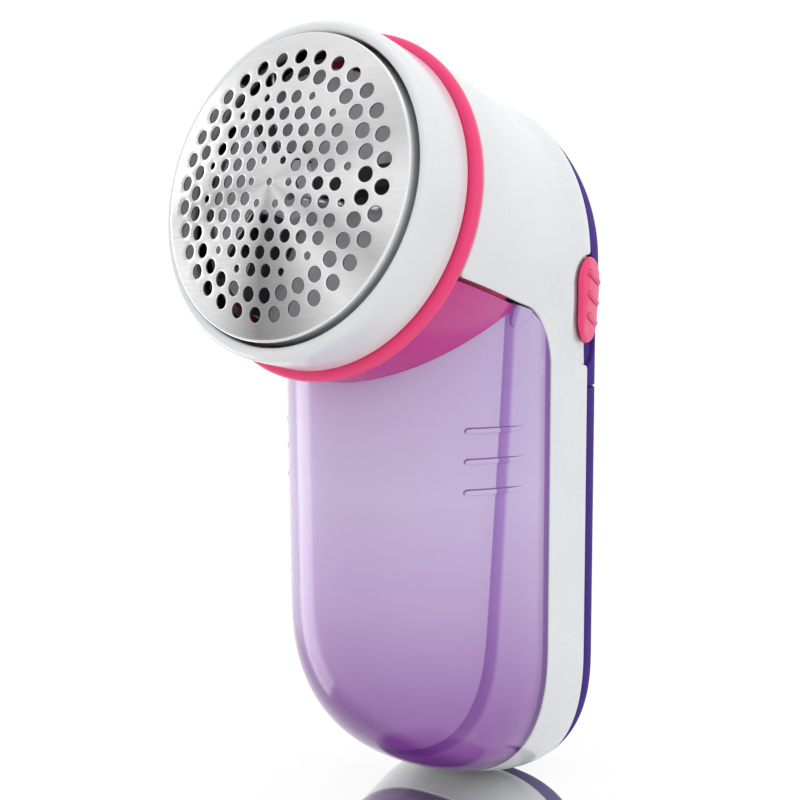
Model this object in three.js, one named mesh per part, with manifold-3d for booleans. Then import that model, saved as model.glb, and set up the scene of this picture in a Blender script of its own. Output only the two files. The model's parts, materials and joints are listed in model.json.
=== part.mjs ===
// Battery fabric shaver: a tilted shaving head on an upright handle, with a lint container in front
// and a battery compartment behind. Units are millimetres, +Z is up, the foil faces -Y and the
// switch is on the +X side. The origin is at the bottom centre of the bounding box.
import * as THREE from 'three';
import { mergeVertices } from 'three/addons/utils/BufferGeometryUtils.js';
import Module from 'manifold-3d';

const wasm = await Module();
wasm.setup();

// ---------------------------------------------------------------- driving dimensions
const HEAD_TILT = THREE.MathUtils.degToRad(10.8);   // head axis above the horizontal
const FOIL_CENTRE = new THREE.Vector3(0, -33.99, 110.21);
const GAP = 0.3;                                    // between parts that touch

// head, as radii and places s along the head axis (0 = foil plane, positive to the front)
const HOLE_PITCH = 3.2;
const FOIL_RADIUS = 25.0;
const RING_INNER = 25.5;
const RING_OUTER = 27.9;
const RING_LIP_S = -1.8;
const RING_BACK_S = -11.7;
const TRIM_OUTER = 29.5;
const TRIM_BACK_S = -13.9;
const TUBE_RADIUS = 29.2;
const TUBE_FRONT_S = -14.2;
const TUBE_ROUND_S = -41;                           // the tube's rear end starts rounding here
const TUBE_END_S = -71.45;
const TUBE_POWER = 3.6;                             // exponent of the rounded rear end
const TUBE_TAPER = 0.08;                            // share by which the tube narrows across X
const TAPER_START_S = -18;
const TAPER_LENGTH = 28;
const CHAMBER_RADIUS = 26.4;
const CHAMBER_WALL = 1.6;
const CHAMBER_BACK_S = -33;
const PARTITION_S = -28.5;
const PARTITION_THICKNESS = 1.8;
const BLADE_RADIUS = 21.6;
const HUB_PLATE_S = -8.6;                           // rear face of the plate that carries the blades
const ARM_TURN = 8;                                 // degrees, first blade arm above +X

// handle, in the foil-centred frame (y backwards, z up)
const HALF_WIDTH = 25.0;
const FRONT_Y = 14.1;
const FRONT_ROUND_Y = 38.5;
const REAR_ROUND_Y = 53;
const BACK_Y = 71.5;
const FLAT_BACK_Y = 71.1;                           // the back is flat here, between the rounded corners
const FRONT_DRAFT = 0.028;
const BOTTOM_START_Z = -79;
const BOTTOM_DEPTH = 28.7;
const BOTTOM_SLOPE = 0.32;
const TOP_START_Z = -26;
const TOP_HEIGHT = 41;
const CENTRE_Y = 42.3;                              // the ends are drawn in towards this line
const WALL = 1.8;                                   // purple covers
const CASING_WALL = 2.2;                            // white casing
const CONTAINER_WALL = 1.6;
const PILOT_RADIUS = 1.3;                           // blind holes that screws bite into
const CLEARANCE_RADIUS = 1.4;                       // holes that screws pass through
const HOOD_STEP = 0.7;                              // the container's hood is this much inside the tube

// seams between the white casing, the purple covers and the lint container
const CONTAINER_SEAM_Y = 43.4;
const COVER_SEAM_Y = 57.5;
const DOOR_SEAM_Z = -34;
const HOOD_SEAM_U = -12.3;                          // below the head axis
const HOOD_CORNER = 8.5;

// battery cells, size AA
const CELL_RADIUS = 7.2;
const CELL_LENGTH = 49.2;
const CELL_X = 7.7;
const CELL_Y = 58.5;
const CELL_TOP_Z = -46.5;

// switch
const SWITCH_Z = -17.8;
const SWITCH_LENGTH = 15.6;
const SWITCH_WIDTH = 9.0;
const SWITCH_TRAVEL = 3.8;

// ---------------------------------------------------------------- colours
const material = (color, roughness, metalness = 0) =>
  new THREE.MeshStandardMaterial({ color, roughness, metalness });
const WHITE = material(0xeef0f1, 0.25);
const PINK = material(0xed3370, 0.35);
const PURPLE = material(0x432a86, 0.3);
const LILAC = material(0xb695cf, 0.4);
const STEEL = material(0xc9c9c9, 0.3, 1);
const DARK = material(0x3a3a3d, 0.5);
const BRASS = material(0xc9a45a, 0.35, 1);
const RED = material(0xb5202a, 0.5);
const BLACK = material(0x1d1d1f, 0.5);
const SILVER = material(0x9fa3a8, 0.4, 1);
const GREEN = material(0x2f6d4f, 0.4);

// ---------------------------------------------------------------- solids from three.js geometry
function indexOf(geometry) {
  const bare = geometry.clone();
  for (const name of Object.keys(bare.attributes)) {
    if (name !== 'position') bare.deleteAttribute(name);
  }
  const merged = mergeVertices(bare, 1e-4);
  const corners = [];
  for (let i = 0; i < merged.index.count; i += 3) {
    const [a, b, c] = [0, 1, 2].map((k) => merged.index.getX(i + k));
    if (a !== b && b !== c && c !== a) corners.push(a, b, c);
  }
  return { positions: merged.attributes.position.array, corners };
}

function signedVolume(positions, corners) {
  const [a, b, c] = [new THREE.Vector3(), new THREE.Vector3(), new THREE.Vector3()];
  let sum = 0;
  for (let i = 0; i < corners.length; i += 3) {
    a.fromArray(positions, 3 * corners[i]);
    b.fromArray(positions, 3 * corners[i + 1]);
    c.fromArray(positions, 3 * corners[i + 2]);
    sum += a.dot(b.cross(c));
  }
  return sum;
}

function solid(geometry) {
  const { positions, corners } = indexOf(geometry);
  if (signedVolume(positions, corners) < 0) corners.reverse();
  const mesh = new wasm.Mesh({
    numProp: 3,
    vertProperties: new Float32Array(positions),
    triVerts: new Uint32Array(corners),
  });
  return new wasm.Manifold(mesh);
}

function mesh(name, part, finish) {
  const result = part.getMesh();
  const geometry = new THREE.BufferGeometry();
  geometry.setAttribute('position', new THREE.BufferAttribute(result.vertProperties, 3));
  geometry.setIndex(new THREE.BufferAttribute(result.triVerts, 1));
  geometry.computeVertexNormals();
  const object = new THREE.Mesh(geometry, finish);
  object.name = name;
  return object;
}

const join = (first, ...others) => others.reduce((sum, part) => sum.add(part), first);
const cut = (first, ...others) => others.reduce((rest, part) => rest.subtract(part), first);

function box(x0, x1, y0, y1, z0, z1) {
  const geometry = new THREE.BoxGeometry(x1 - x0, y1 - y0, z1 - z0);
  geometry.translate((x0 + x1) / 2, (y0 + y1) / 2, (z0 + z1) / 2);
  return solid(geometry);
}

// a rod from one point to another
function rod(radius, from, to, sides = 16) {
  const [start, end] = [new THREE.Vector3(...from), new THREE.Vector3(...to)];
  const along = end.clone().sub(start);
  const geometry = new THREE.CylinderGeometry(radius, radius, along.length(), sides);
  const turn = new THREE.Quaternion().setFromUnitVectors(
    new THREE.Vector3(0, 1, 0), along.clone().normalize());
  geometry.applyQuaternion(turn);
  geometry.translate(...start.add(end).multiplyScalar(0.5).toArray());
  return solid(geometry);
}

// a solid of revolution about local Y, from [radius, s] pairs
function revolve(profile, segments = 48) {
  return solid(latheGeometry(profile, segments));
}

function latheGeometry(profile, segments) {
  return new THREE.LatheGeometry(profile.map(([r, s]) => new THREE.Vector2(r, s)), segments);
}

// a ring of rectangular section
const ring = (inner, outer, s0, s1, segments = 48) =>
  revolve([[inner, s0], [outer, s0], [outer, s1], [inner, s1], [inner, s0]], segments);
const disc = (radius, s0, s1, segments = 48) =>
  revolve([[0, s0], [radius, s0], [radius, s1], [0, s1]], segments);

// an outline in the YZ plane, extruded along X from x0 to x1
function sideProfile(shape, x0, x1, curveSegments = 8) {
  const geometry = new THREE.ExtrudeGeometry(shape, { depth: x1 - x0, bevelEnabled: false, curveSegments });
  const basis = new THREE.Matrix4().makeBasis(
    new THREE.Vector3(0, 1, 0), new THREE.Vector3(0, 0, 1), new THREE.Vector3(1, 0, 0));
  geometry.applyMatrix4(basis);
  geometry.translate(x0, 0, 0);
  return solid(geometry);
}

function polygon(points) {
  return new THREE.Shape(points.map(([x, y]) => new THREE.Vector2(x, y)));
}

function circle(x, y, radius, sides) {
  const origin = new THREE.Vector2();
  const corner = (k) => new THREE.Vector2(radius, 0).rotateAround(origin, (2 * Math.PI * k) / sides);
  return [...Array(sides).keys()].map((k) => corner(k).add(new THREE.Vector2(x, y)));
}

// a tube of round section along a list of points
function lead(points, radius, steps) {
  const stops = points.map((p) => new THREE.Vector3(...p));
  const curve = new THREE.CatmullRomCurve3(stops, false, 'centripetal');
  const section = new THREE.Shape();
  section.absarc(0, 0, radius, 0, 2 * Math.PI);
  const geometry = new THREE.ExtrudeGeometry(section, {
    steps, curveSegments: 4, bevelEnabled: false, extrudePath: curve,
  });
  return solid(geometry);
}

// ---------------------------------------------------------------- the head's own frame
// Inside the head group, +Y runs forward along the head axis, +X is the handle's +X and -Z is up.
const headMatrix = new THREE.Matrix4().makeRotationX(Math.PI - HEAD_TILT);

function inHandle(geometry) {
  return solid(geometry.clone().applyMatrix4(headMatrix));
}

const headDisc = (radius, s0, s1) => inHandle(latheGeometry(
  [[0, s0], [radius, s0], [radius, s1], [0, s1]], 48));

// ---------------------------------------------------------------- outer form
// The tube behind the head: a cylinder that narrows across X towards a superelliptic rear end.
function tubeForm(inset) {
  const radius = TUBE_RADIUS - inset;
  const length = TUBE_ROUND_S - TUBE_END_S - inset;
  const front = TUBE_FRONT_S + (inset > HOOD_STEP ? 2 : 0);
  const profile = [[0, front], [radius, front]];
  const stations = 5;
  for (let i = 0; i < stations; i++) {
    profile.push([radius, TAPER_START_S + ((TUBE_ROUND_S - TAPER_START_S) * i) / stations]);
  }
  const rounds = 9;
  for (let i = 0; i <= rounds; i++) {
    const angle = (i / rounds) * Math.PI / 2;
    const r = radius * Math.pow(Math.cos(angle), 2 / TUBE_POWER);
    const s = TUBE_ROUND_S - length * Math.pow(Math.sin(angle), 2 / TUBE_POWER);
    profile.push([i === rounds ? 0 : r, s]);
  }
  const geometry = latheGeometry(profile, 48);
  const place = geometry.attributes.position;
  for (let i = 0; i < place.count; i++) {
    const part = THREE.MathUtils.smoothstep(TAPER_START_S - place.getY(i), 0, TAPER_LENGTH);
    place.setX(i, place.getX(i) * (1 - TUBE_TAPER * part));
  }
  return inHandle(geometry);
}

// Plan outline of the handle: a half-round front, straight sides and a squarer rear.
function planPoint(angle, inset, frontDraft) {
  const [c, s] = [Math.cos(angle), Math.sin(angle)];
  const width = HALF_WIDTH - inset;
  if (Math.abs(s) < 1e-6) return [Math.sign(c) * width, (FRONT_ROUND_Y + REAR_ROUND_Y) / 2];
  if (s < 0) return [width * c, FRONT_ROUND_Y + (FRONT_ROUND_Y - FRONT_Y - inset - frontDraft) * s];
  const [squareC, squareS] = [c, s].map((v) => Math.sign(v) * Math.pow(Math.abs(v), 2 / 3));
  const rearY = REAR_ROUND_Y + (BACK_Y - REAR_ROUND_Y - inset) * squareS;
  return [width * squareC, Math.min(rearY, FLAT_BACK_Y - inset)];
}

// The handle: the plan outline drawn in to a sloping rounded bottom, and to a dome inside the tube.
function handleForm(inset) {
  const [lowRounds, topRounds] = [8, 4];
  const profile = [[0, -2]];
  for (let i = 1; i <= lowRounds; i++) {
    const angle = (i / lowRounds) * Math.PI / 2;
    const level = i === lowRounds ? 0 : Math.pow(Math.cos(angle), 2 / 2.5);
    profile.push([Math.pow(Math.sin(angle), 2 / 2.5), -1 - level]);
  }
  for (let i = 0; i <= topRounds; i++) {
    const angle = (i / topRounds) * Math.PI / 2;
    const level = Math.pow(Math.sin(angle), 2 / 3);
    profile.push([i === topRounds ? 0 : Math.pow(Math.cos(angle), 2 / 3), level]);
  }
  const geometry = latheGeometry(profile, 48);
  const place = geometry.attributes.position;
  for (let i = 0; i < place.count; i++) {
    const [x, level, z] = [place.getX(i), place.getY(i), place.getZ(i)];
    const scale = Math.hypot(x, z);
    const draft = level < 0 ? FRONT_DRAFT * (TOP_START_Z - BOTTOM_START_Z) : 0;
    const [planX, planY] = planPoint(Math.atan2(z, x), inset, draft);
    const y = CENTRE_Y + scale * (planY - CENTRE_Y);
    const bottomStart = BOTTOM_START_Z - BOTTOM_SLOPE * (y - CENTRE_Y);
    const height = level < 0 ? bottomStart + (level + 1) * (BOTTOM_DEPTH - inset)
      : TOP_START_Z + level * (TOP_HEIGHT - inset);
    place.setXYZ(i, scale * planX, y, height);
  }
  return solid(geometry);
}

const outerForm = (inset) => tubeForm(inset).add(handleForm(inset));

// Everything in front of the container seam: below the hood line and forward of the vertical seam.
function containerZone(offset) {
  const slope = Math.tan(HEAD_TILT);
  const line = (y) => (HOOD_SEAM_U / Math.cos(HEAD_TILT)) - slope * y + offset;
  const seam = CONTAINER_SEAM_Y + offset;
  const corner = new THREE.Shape();
  corner.moveTo(-20, line(-20));
  corner.lineTo(seam - HOOD_CORNER, line(seam - HOOD_CORNER));
  corner.quadraticCurveTo(seam, line(seam), seam, line(seam) - HOOD_CORNER);
  corner.lineTo(seam, -140);
  corner.lineTo(-20, -140);
  corner.closePath();
  return sideProfile(corner, -60, 60, 6);
}

const shell = (wall) => outerForm(0).subtract(outerForm(wall));
const containerForm = (inset) => tubeForm(HOOD_STEP + inset).add(handleForm(inset));

// ---------------------------------------------------------------- shaving head (in the head's frame)
const domeAt = (r) => {
  const part = r / (7 * HOLE_PITCH);
  return HOLE_PITCH * (0.798 * (1 - part ** 2) - 0.065 * (1 - part ** 4));
};

// [x, z, radius] of every hole: two rings of 32, and a triangular lattice inside them
function foilHoles() {
  const turn = THREE.MathUtils.degToRad(4.4);
  const holes = [[0, 0, 0.6]];
  const add = (r, angle, radius) => holes.push([r * Math.cos(angle), r * Math.sin(angle), radius]);
  for (let k = 0; k < 32; k++) {
    add(6.49 * HOLE_PITCH, turn + (k * Math.PI) / 16, 1.22);
    add(5.55 * HOLE_PITCH, turn + ((k + 0.5) * Math.PI) / 16, 1.22);
  }
  for (let k = 0; k < 6; k++) add(1.242 * HOLE_PITCH, turn + (k * Math.PI) / 3, 0.64);
  for (let i = -6; i <= 6; i++) {
    for (let j = -6; j <= 6; j++) {
      const norm = i * i + i * j + j * j;
      if (norm <= 1 || norm > 21) continue;
      const [x, z] = [(i + j / 2) * HOLE_PITCH, j * (Math.sqrt(3) / 2) * HOLE_PITCH];
      add(Math.hypot(x, z), Math.atan2(z, x) + turn, norm === 21 ? 0.64 : 1.04);
    }
  }
  return holes;
}

// the perforated dome and its skirt
function foilScreen() {
  const [thickness, skirtWall, skirtBack] = [0.4, 1.4, -8.5];
  const sheet = new THREE.Shape(circle(0, 0, FOIL_RADIUS, 48));
  sheet.holes = foilHoles().map(([x, z, radius]) => new THREE.Path(circle(x, z, radius, 6)));
  const geometry = new THREE.ExtrudeGeometry(sheet, { depth: thickness, bevelEnabled: false });
  geometry.rotateX(Math.PI / 2);
  const place = geometry.attributes.position;
  for (let i = 0; i < place.count; i++) {
    place.setY(i, place.getY(i) + domeAt(Math.hypot(place.getX(i), place.getZ(i))));
  }
  const edge = domeAt(FOIL_RADIUS) - 0.2;
  return join(solid(geometry), ring(FOIL_RADIUS - skirtWall, FOIL_RADIUS, skirtBack, edge));
}

// white ring with a rounded front lip and a thin spigot that turns inside the trim ring
function headRingPart() {
  const lip = RING_LIP_S;
  const spigot = { inner: RING_INNER - 0.2, outer: RING_INNER + 0.8, back: RING_BACK_S - 1.7 };
  return revolve([
    [RING_INNER, lip - 0.5], [RING_INNER + 0.5, lip], [RING_OUTER - 0.8, lip - 0.1],
    [RING_OUTER - 0.2, lip - 0.5], [RING_OUTER, lip - 1.3], [RING_OUTER, RING_BACK_S],
    [spigot.outer, RING_BACK_S], [spigot.outer, spigot.back], [spigot.inner, spigot.back],
    [spigot.inner, RING_BACK_S + 1.4], [RING_INNER, RING_BACK_S + 1.6], [RING_INNER, lip - 0.5],
  ]);
}

function trimRing() {
  const [front, inner, chamfer] = [RING_BACK_S - GAP, RING_INNER + 1.2, 0.5];
  return revolve([
    [inner, TRIM_BACK_S], [TRIM_OUTER - chamfer, TRIM_BACK_S], [TRIM_OUTER, TRIM_BACK_S + chamfer],
    [TRIM_OUTER, front - chamfer], [TRIM_OUTER - chamfer, front], [inner, front], [inner, TRIM_BACK_S],
  ]);
}

const POST_X = 18.5;
const SHAFT_RADIUS = 1.0;
const BLADE_DROP = 2.1;                             // blade edge below the outer face of the foil

const BRACKET_S = -44;                              // rear face of the motor bracket
const BRACKET_THICKNESS = 2.2;

// pink tube behind the trim ring: the fan room, its rear partition and the motor's posts
function fanChamber() {
  const [postRadius, shaftHoleRadius] = [3, 2.4];
  const wall = ring(CHAMBER_RADIUS - CHAMBER_WALL, CHAMBER_RADIUS, CHAMBER_BACK_S, TUBE_FRONT_S);
  const partition = disc(CHAMBER_RADIUS - CHAMBER_WALL / 2, PARTITION_S - PARTITION_THICKNESS, PARTITION_S);
  const postEnd = BRACKET_S + BRACKET_THICKNESS + GAP;
  const posts = [-1, 1].map((side) =>
    rod(postRadius, [side * POST_X, postEnd, 0], [side * POST_X, PARTITION_S - 1, 0], 12));
  const bores = [-1, 1].map((side) =>
    rod(PILOT_RADIUS, [side * POST_X, postEnd - 1, 0], [side * POST_X, postEnd + 7.5, 0], 8));
  const shaftHole = rod(shaftHoleRadius, [0, PARTITION_S - 5, 0], [0, PARTITION_S + 3, 0], 12);
  const outlet = box(-12, 12, PARTITION_S + 2, TUBE_FRONT_S - 1.6, 15, 30);
  return cut(join(wall, partition, ...posts), ...bores, shaftHole, outlet);
}

function motorBracket() {
  const plate = ring(12.6, CHAMBER_RADIUS - 1.9, BRACKET_S, BRACKET_S + BRACKET_THICKNESS, 32);
  const holes = [-1, 1].map((side) =>
    rod(CLEARANCE_RADIUS, [side * POST_X, BRACKET_S - 1, 0], [side * POST_X, BRACKET_S + 3, 0], 8));
  return cut(plate, ...holes);
}

// a screw along the head axis whose head rests against the bracket
function bracketScrew(side) {
  const [x, seat] = [side * POST_X, BRACKET_S - GAP];
  return join(rod(2.2, [x, seat - 1.2, 0], [x, seat, 0], 12),
    rod(1.0, [x, seat - 0.1, 0], [x, seat + 8.6, 0], 8));
}

function impeller() {
  const plate = disc(21.5, -26.6, -25.6, 32);
  const hub = disc(4.2, -25.8, -17, 16);
  const fins = [...Array(8).keys()].map((k) => {
    const geometry = new THREE.BoxGeometry(17, 8.2, 1);
    geometry.translate(12.2, -21.6, 0);
    geometry.rotateY((k * Math.PI) / 4);
    return solid(geometry);
  });
  return cut(join(plate, hub, ...fins), rod(SHAFT_RADIUS + GAP, [0, -28, 0], [0, -16, 0], 12));
}

const armAngle = (k) => -THREE.MathUtils.degToRad(ARM_TURN + 120 * k);

// round plate with three arms that hold the blades
function cutterHub() {
  const arms = [0, 1, 2].map((k) => {
    const geometry = new THREE.BoxGeometry(BLADE_RADIUS - 1, 3, 7);
    geometry.translate((BLADE_RADIUS - 1) / 2, -4.6, 0);
    geometry.rotateY(armAngle(k));
    return solid(geometry);
  });
  const bore = rod(SHAFT_RADIUS + GAP, [0, -10, 0], [0, -4, 0], 12);
  const slots = [0, 1, 2].map((k) => bladeSolid(k, GAP));
  const plate = disc(BLADE_RADIUS, HUB_PLATE_S, HUB_PLATE_S + 1.2);
  return cut(join(disc(5.2, -7.5, -2.6, 20), plate, ...arms), bore, ...slots);
}

// an upright steel blade whose edge follows the inside of the foil
function bladeSolid(k, grow) {
  const [inner, foot] = [5.8, -5];
  const edge = [BLADE_RADIUS + grow, 16, 11, inner - grow].map((r) => [r, domeAt(r) - BLADE_DROP + grow]);
  const outline = polygon([[inner - grow, foot - grow], [BLADE_RADIUS + grow, foot - grow], ...edge]);
  const thickness = 0.6 + 2 * grow;
  const geometry = new THREE.ExtrudeGeometry(outline, { depth: thickness, bevelEnabled: false });
  geometry.translate(0, 0, 1.6 - thickness / 2);
  geometry.rotateY(armAngle(k));
  return solid(geometry);
}

function coilSpring(radius, wire, from, to, turns, stepsPerTurn = 10) {
  class Helix extends THREE.Curve {
    getPoint(t, target = new THREE.Vector3()) {
      const angle = 2 * Math.PI * turns * t;
      return target.set(radius * Math.cos(angle), from + (to - from) * t, radius * Math.sin(angle));
    }
  }
  const section = new THREE.Shape();
  section.absarc(0, 0, wire, 0, 2 * Math.PI);
  return solid(new THREE.ExtrudeGeometry(section, {
    steps: turns * stepsPerTurn, curveSegments: 3, bevelEnabled: false, extrudePath: new Helix(),
  }));
}

function motorCan() {
  const can = disc(12.2, -56.5, -32, 32);
  const nose = disc(4.6, -32.1, -31.2, 16);
  return cut(join(can, nose), rod(SHAFT_RADIUS + GAP, [0, -41, 0], [0, -30, 0], 12));
}

const rotorShaft = () => disc(SHAFT_RADIUS, -40.5, -4.4, 12);

// ---------------------------------------------------------------- casings (in the foil-centred frame)
const FAR = 160;
const behind = (y) => box(-FAR, FAR, y, FAR, -FAR, FAR);
const ahead = (y) => box(-FAR, FAR, -FAR, y, -FAR, FAR);
const above = (z) => box(-FAR, FAR, -FAR, FAR, z, FAR);
const below = (z) => box(-FAR, FAR, -FAR, FAR, -FAR, z);

const BOSS_X = 16.9;
const BOSS_Z = -38.8;
const FLANGE_Y = 62;
const EAR_THICKNESS = 2;                            // ears of the back cover under the screw heads
const BAY_WALL_Y = 40.3;                            // front wall of the battery bay, behind the container

// a stadium-shaped bar standing out along X from x0 to x1
function stadium(x0, x1, width, length, z) {
  const r = width / 2;
  const shape = new THREE.Shape();
  shape.absarc(COVER_SEAM_Y, z + length / 2 - r, r, 0, Math.PI);
  shape.absarc(COVER_SEAM_Y, z - length / 2 + r, r, Math.PI, 2 * Math.PI);
  shape.closePath();
  return sideProfile(shape, x0, x1, 6);
}

function switchPocket() {
  const clear = 0.4;
  const length = SWITCH_LENGTH + SWITCH_TRAVEL + 2 * clear;
  const middle = SWITCH_Z - SWITCH_TRAVEL / 2;
  const recess = stadium(15, 40, SWITCH_WIDTH + 2 * clear, length, middle).subtract(outerForm(1.0));
  const slot = box(10, 30, COVER_SEAM_Y - 1.8, COVER_SEAM_Y + 1.8, middle - 6, middle + 6);
  return join(recess, slot);
}

function frontCasing() {
  const skin = shell(CASING_WALL).intersect(ahead(COVER_SEAM_Y - GAP / 2)).subtract(containerZone(GAP / 2));
  const bayInset = 2.0;
  const boxWall = cut(
    handleForm(bayInset).intersect(ahead(COVER_SEAM_Y - GAP / 2)).intersect(behind(BAY_WALL_Y)),
    handleForm(bayInset + WALL).intersect(behind(BAY_WALL_Y + WALL)));
  const bosses = [-1, 1].map((side) => rod(3.2, [side * BOSS_X, BAY_WALL_Y + 1, BOSS_Z],
    [side * BOSS_X, FLANGE_Y - GAP, BOSS_Z], 12));
  const bores = [-1, 1].map((side) =>
    rod(PILOT_RADIUS, [side * BOSS_X, 48, BOSS_Z], [side * BOSS_X, 63, BOSS_Z], 8));
  const fanRoom = headDisc(CHAMBER_RADIUS + 0.4, CHAMBER_BACK_S - 0.4, TUBE_FRONT_S + 1);
  const motorRoom = headDisc(CHAMBER_RADIUS + 0.4, BRACKET_S - 1.4, TUBE_FRONT_S + 1);
  const bay = cut(boxWall, above(-20), motorRoom);
  return cut(join(skin, bay, ...bosses), fanRoom, switchPocket(), ...bores);
}

function backCover() {
  const skin = shell(WALL).intersect(behind(COVER_SEAM_Y + GAP / 2)).intersect(above(DOOR_SEAM_Z + GAP / 2));
  const flange = cut(box(-23, 23, FLANGE_Y, FLANGE_Y + EAR_THICKNESS, DOOR_SEAM_Z - 7.5, DOOR_SEAM_Z + 4),
    box(-14, 14, FLANGE_Y - 2, FLANGE_Y + 4, -60, 0));
  const fitted = join(flange.intersect(outerForm(1)).intersect(above(DOOR_SEAM_Z + GAP / 2)),
    flange.intersect(outerForm(WALL + 0.5)));
  const holes = [-1, 1].map((side) =>
    rod(CLEARANCE_RADIUS, [side * BOSS_X, FLANGE_Y - 2, BOSS_Z], [side * BOSS_X, FLANGE_Y + 4, BOSS_Z], 8));
  return cut(join(skin, fitted), switchPocket(), ...holes);
}

function batteryDoor() {
  return shell(WALL).intersect(behind(COVER_SEAM_Y + GAP / 2)).intersect(below(DOOR_SEAM_Z - GAP / 2));
}

// a screw along Y whose head rests behind the back cover's ear
function casingScrew(side) {
  const seat = FLANGE_Y + EAR_THICKNESS + GAP;
  return join(rod(2.3, [side * BOSS_X, seat, BOSS_Z], [side * BOSS_X, seat + 1.3, BOSS_Z], 12),
    rod(1.0, [side * BOSS_X, 50, BOSS_Z], [side * BOSS_X, seat + 0.1, BOSS_Z], 8));
}

const RIB_HEIGHTS = [-39.5, -44.6, -49.7];
const REAR_WALL_Y = 35.9;                           // inner wall that closes the container behind

function lintContainer() {
  const zone = containerZone(-GAP / 2);
  const skin = containerForm(0).subtract(containerForm(CONTAINER_WALL)).intersect(zone);
  const fanRoom = headDisc(CHAMBER_RADIUS + 0.4, CHAMBER_BACK_S - 2, TUBE_FRONT_S + 1);
  const motorRoom = headDisc(CHAMBER_RADIUS + 0.4, BRACKET_S - 3, TUBE_FRONT_S + 1);
  const rearSlab = box(-FAR, FAR, REAR_WALL_Y, REAR_WALL_Y + CONTAINER_WALL, -FAR, -20);
  const rearWall = handleForm(CONTAINER_WALL / 2).intersect(rearSlab).subtract(motorRoom);
  const grips = RIB_HEIGHTS.map((z) => handleForm(-0.7).subtract(handleForm(0.5))
    .intersect(box(-FAR, FAR, 23.8, 34, z - 0.65, z + 0.65)));
  return cut(join(skin, rearWall, ...grips), fanRoom);
}

// ---------------------------------------------------------------- battery bay
const CELL_BOTTOM_Z = CELL_TOP_Z - CELL_LENGTH;
const cellSides = [['left', -1], ['right', 1]];

function batteryCell(side) {
  const x = side * CELL_X;
  const nub = side < 0 ? [CELL_TOP_Z - 0.1, CELL_TOP_Z + 1.1] : [CELL_BOTTOM_Z - 1.1, CELL_BOTTOM_Z + 0.1];
  return join(rod(CELL_RADIUS, [x, CELL_Y, CELL_BOTTOM_Z], [x, CELL_Y, CELL_TOP_Z], 24),
    rod(2.7, [x, CELL_Y, nub[0]], [x, CELL_Y, nub[1]], 12));
}

const TRAY_TOP_Z = CELL_TOP_Z + 4.2;
const TRAY_BOTTOM_Z = CELL_BOTTOM_Z - 4.2;

function batteryTray() {
  const block = box(-15.8, 15.8, 50, 57, TRAY_BOTTOM_Z, TRAY_TOP_Z);
  const ends = [[TRAY_TOP_Z - 1.6, TRAY_TOP_Z], [TRAY_BOTTOM_Z, TRAY_BOTTOM_Z + 1.6]]
    .map(([z0, z1]) => box(-15.6, 15.6, 50, 63, z0, z1));
  const troughs = cellSides.map(([, side]) => rod(CELL_RADIUS + GAP,
    [side * CELL_X, CELL_Y, TRAY_BOTTOM_Z + 1.6], [side * CELL_X, CELL_Y, TRAY_TOP_Z - 1.6], 24));
  const feet = [-60, -84].map((z) => box(-10, 10, 42.1 + GAP, 50.5, z - 2, z + 2));
  return cut(join(block, ...ends, ...feet), ...troughs);
}

const contactStrip = (x0, x1, z) => box(x0, x1, 57 + GAP, 62.8, z - 0.25, z + 0.25);
const contactPlate = (side) => contactStrip(side * CELL_X - 4, side * CELL_X + 4, TRAY_TOP_Z - 2.2);
const contactBridge = () => contactStrip(-CELL_X - 4, CELL_X + 4, TRAY_BOTTOM_Z + 2.4);

// ---------------------------------------------------------------- switch and latch
function switchButton() {
  const bar = stadium(15, 40, SWITCH_WIDTH, SWITCH_LENGTH, SWITCH_Z);
  const cap = bar.intersect(outerForm(-0.4)).subtract(outerForm(0.6));
  const ridges = [-1, 0, 1].map((k) => {
    const geometry = new THREE.BoxGeometry(12, 6.0, 1.2);
    geometry.rotateX(THREE.MathUtils.degToRad(-28));
    geometry.translate(24, COVER_SEAM_Y + 0.3, SWITCH_Z + 4.0 * k);
    return solid(geometry).intersect(outerForm(-0.9)).subtract(outerForm(0.5));
  });
  const stem = box(19.4, 25.2, COVER_SEAM_Y - 1.3, COVER_SEAM_Y + 1.3, SWITCH_Z - 2.0, SWITCH_Z + 2.0);
  return join(cap, ...ridges, stem);
}

const switchSlider = () => box(16.6, 19.1, COVER_SEAM_Y - 3, COVER_SEAM_Y + 3, SWITCH_Z - 3, SWITCH_Z + 3);
const switchBody = () => box(13.4, 16.3, COVER_SEAM_Y - 4, COVER_SEAM_Y + 4, SWITCH_Z - 9.5, SWITCH_Z + 5);
const containerLatch = () => join(box(-5, 5, 39.3, 40.0, -52, -42), box(-2, 2, 38.2, 39.4, -44.5, -42.8));

// routes of the internal leads, from the contact plates and the switch to the motor terminals
const LEADS = {
  lead_battery_to_motor: {
    route: [[-7.7, 60, -41.6], [-9, 62.5, -34], [-8, 64, -22], [-5, 64, -12.4]], finish: BLACK,
  },
  lead_battery_to_switch: {
    route: [[7.7, 60, -41.6], [11, 60.5, -37], [14, 59.5, -32], [14.8, 58.5, -27.9]], finish: RED,
  },
  lead_switch_to_motor: {
    route: [[14.8, 57.5, -12.3], [13, 60.5, -8.5], [8.5, 64, -9], [5, 64, -12]], finish: RED,
  },
};

// ---------------------------------------------------------------- the assembly
const shaver = new THREE.Group();
const frame = new THREE.Group();
frame.position.copy(FOIL_CENTRE);
shaver.add(frame);
const head = new THREE.Group();
head.rotation.x = Math.PI - HEAD_TILT;
frame.add(head);

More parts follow.
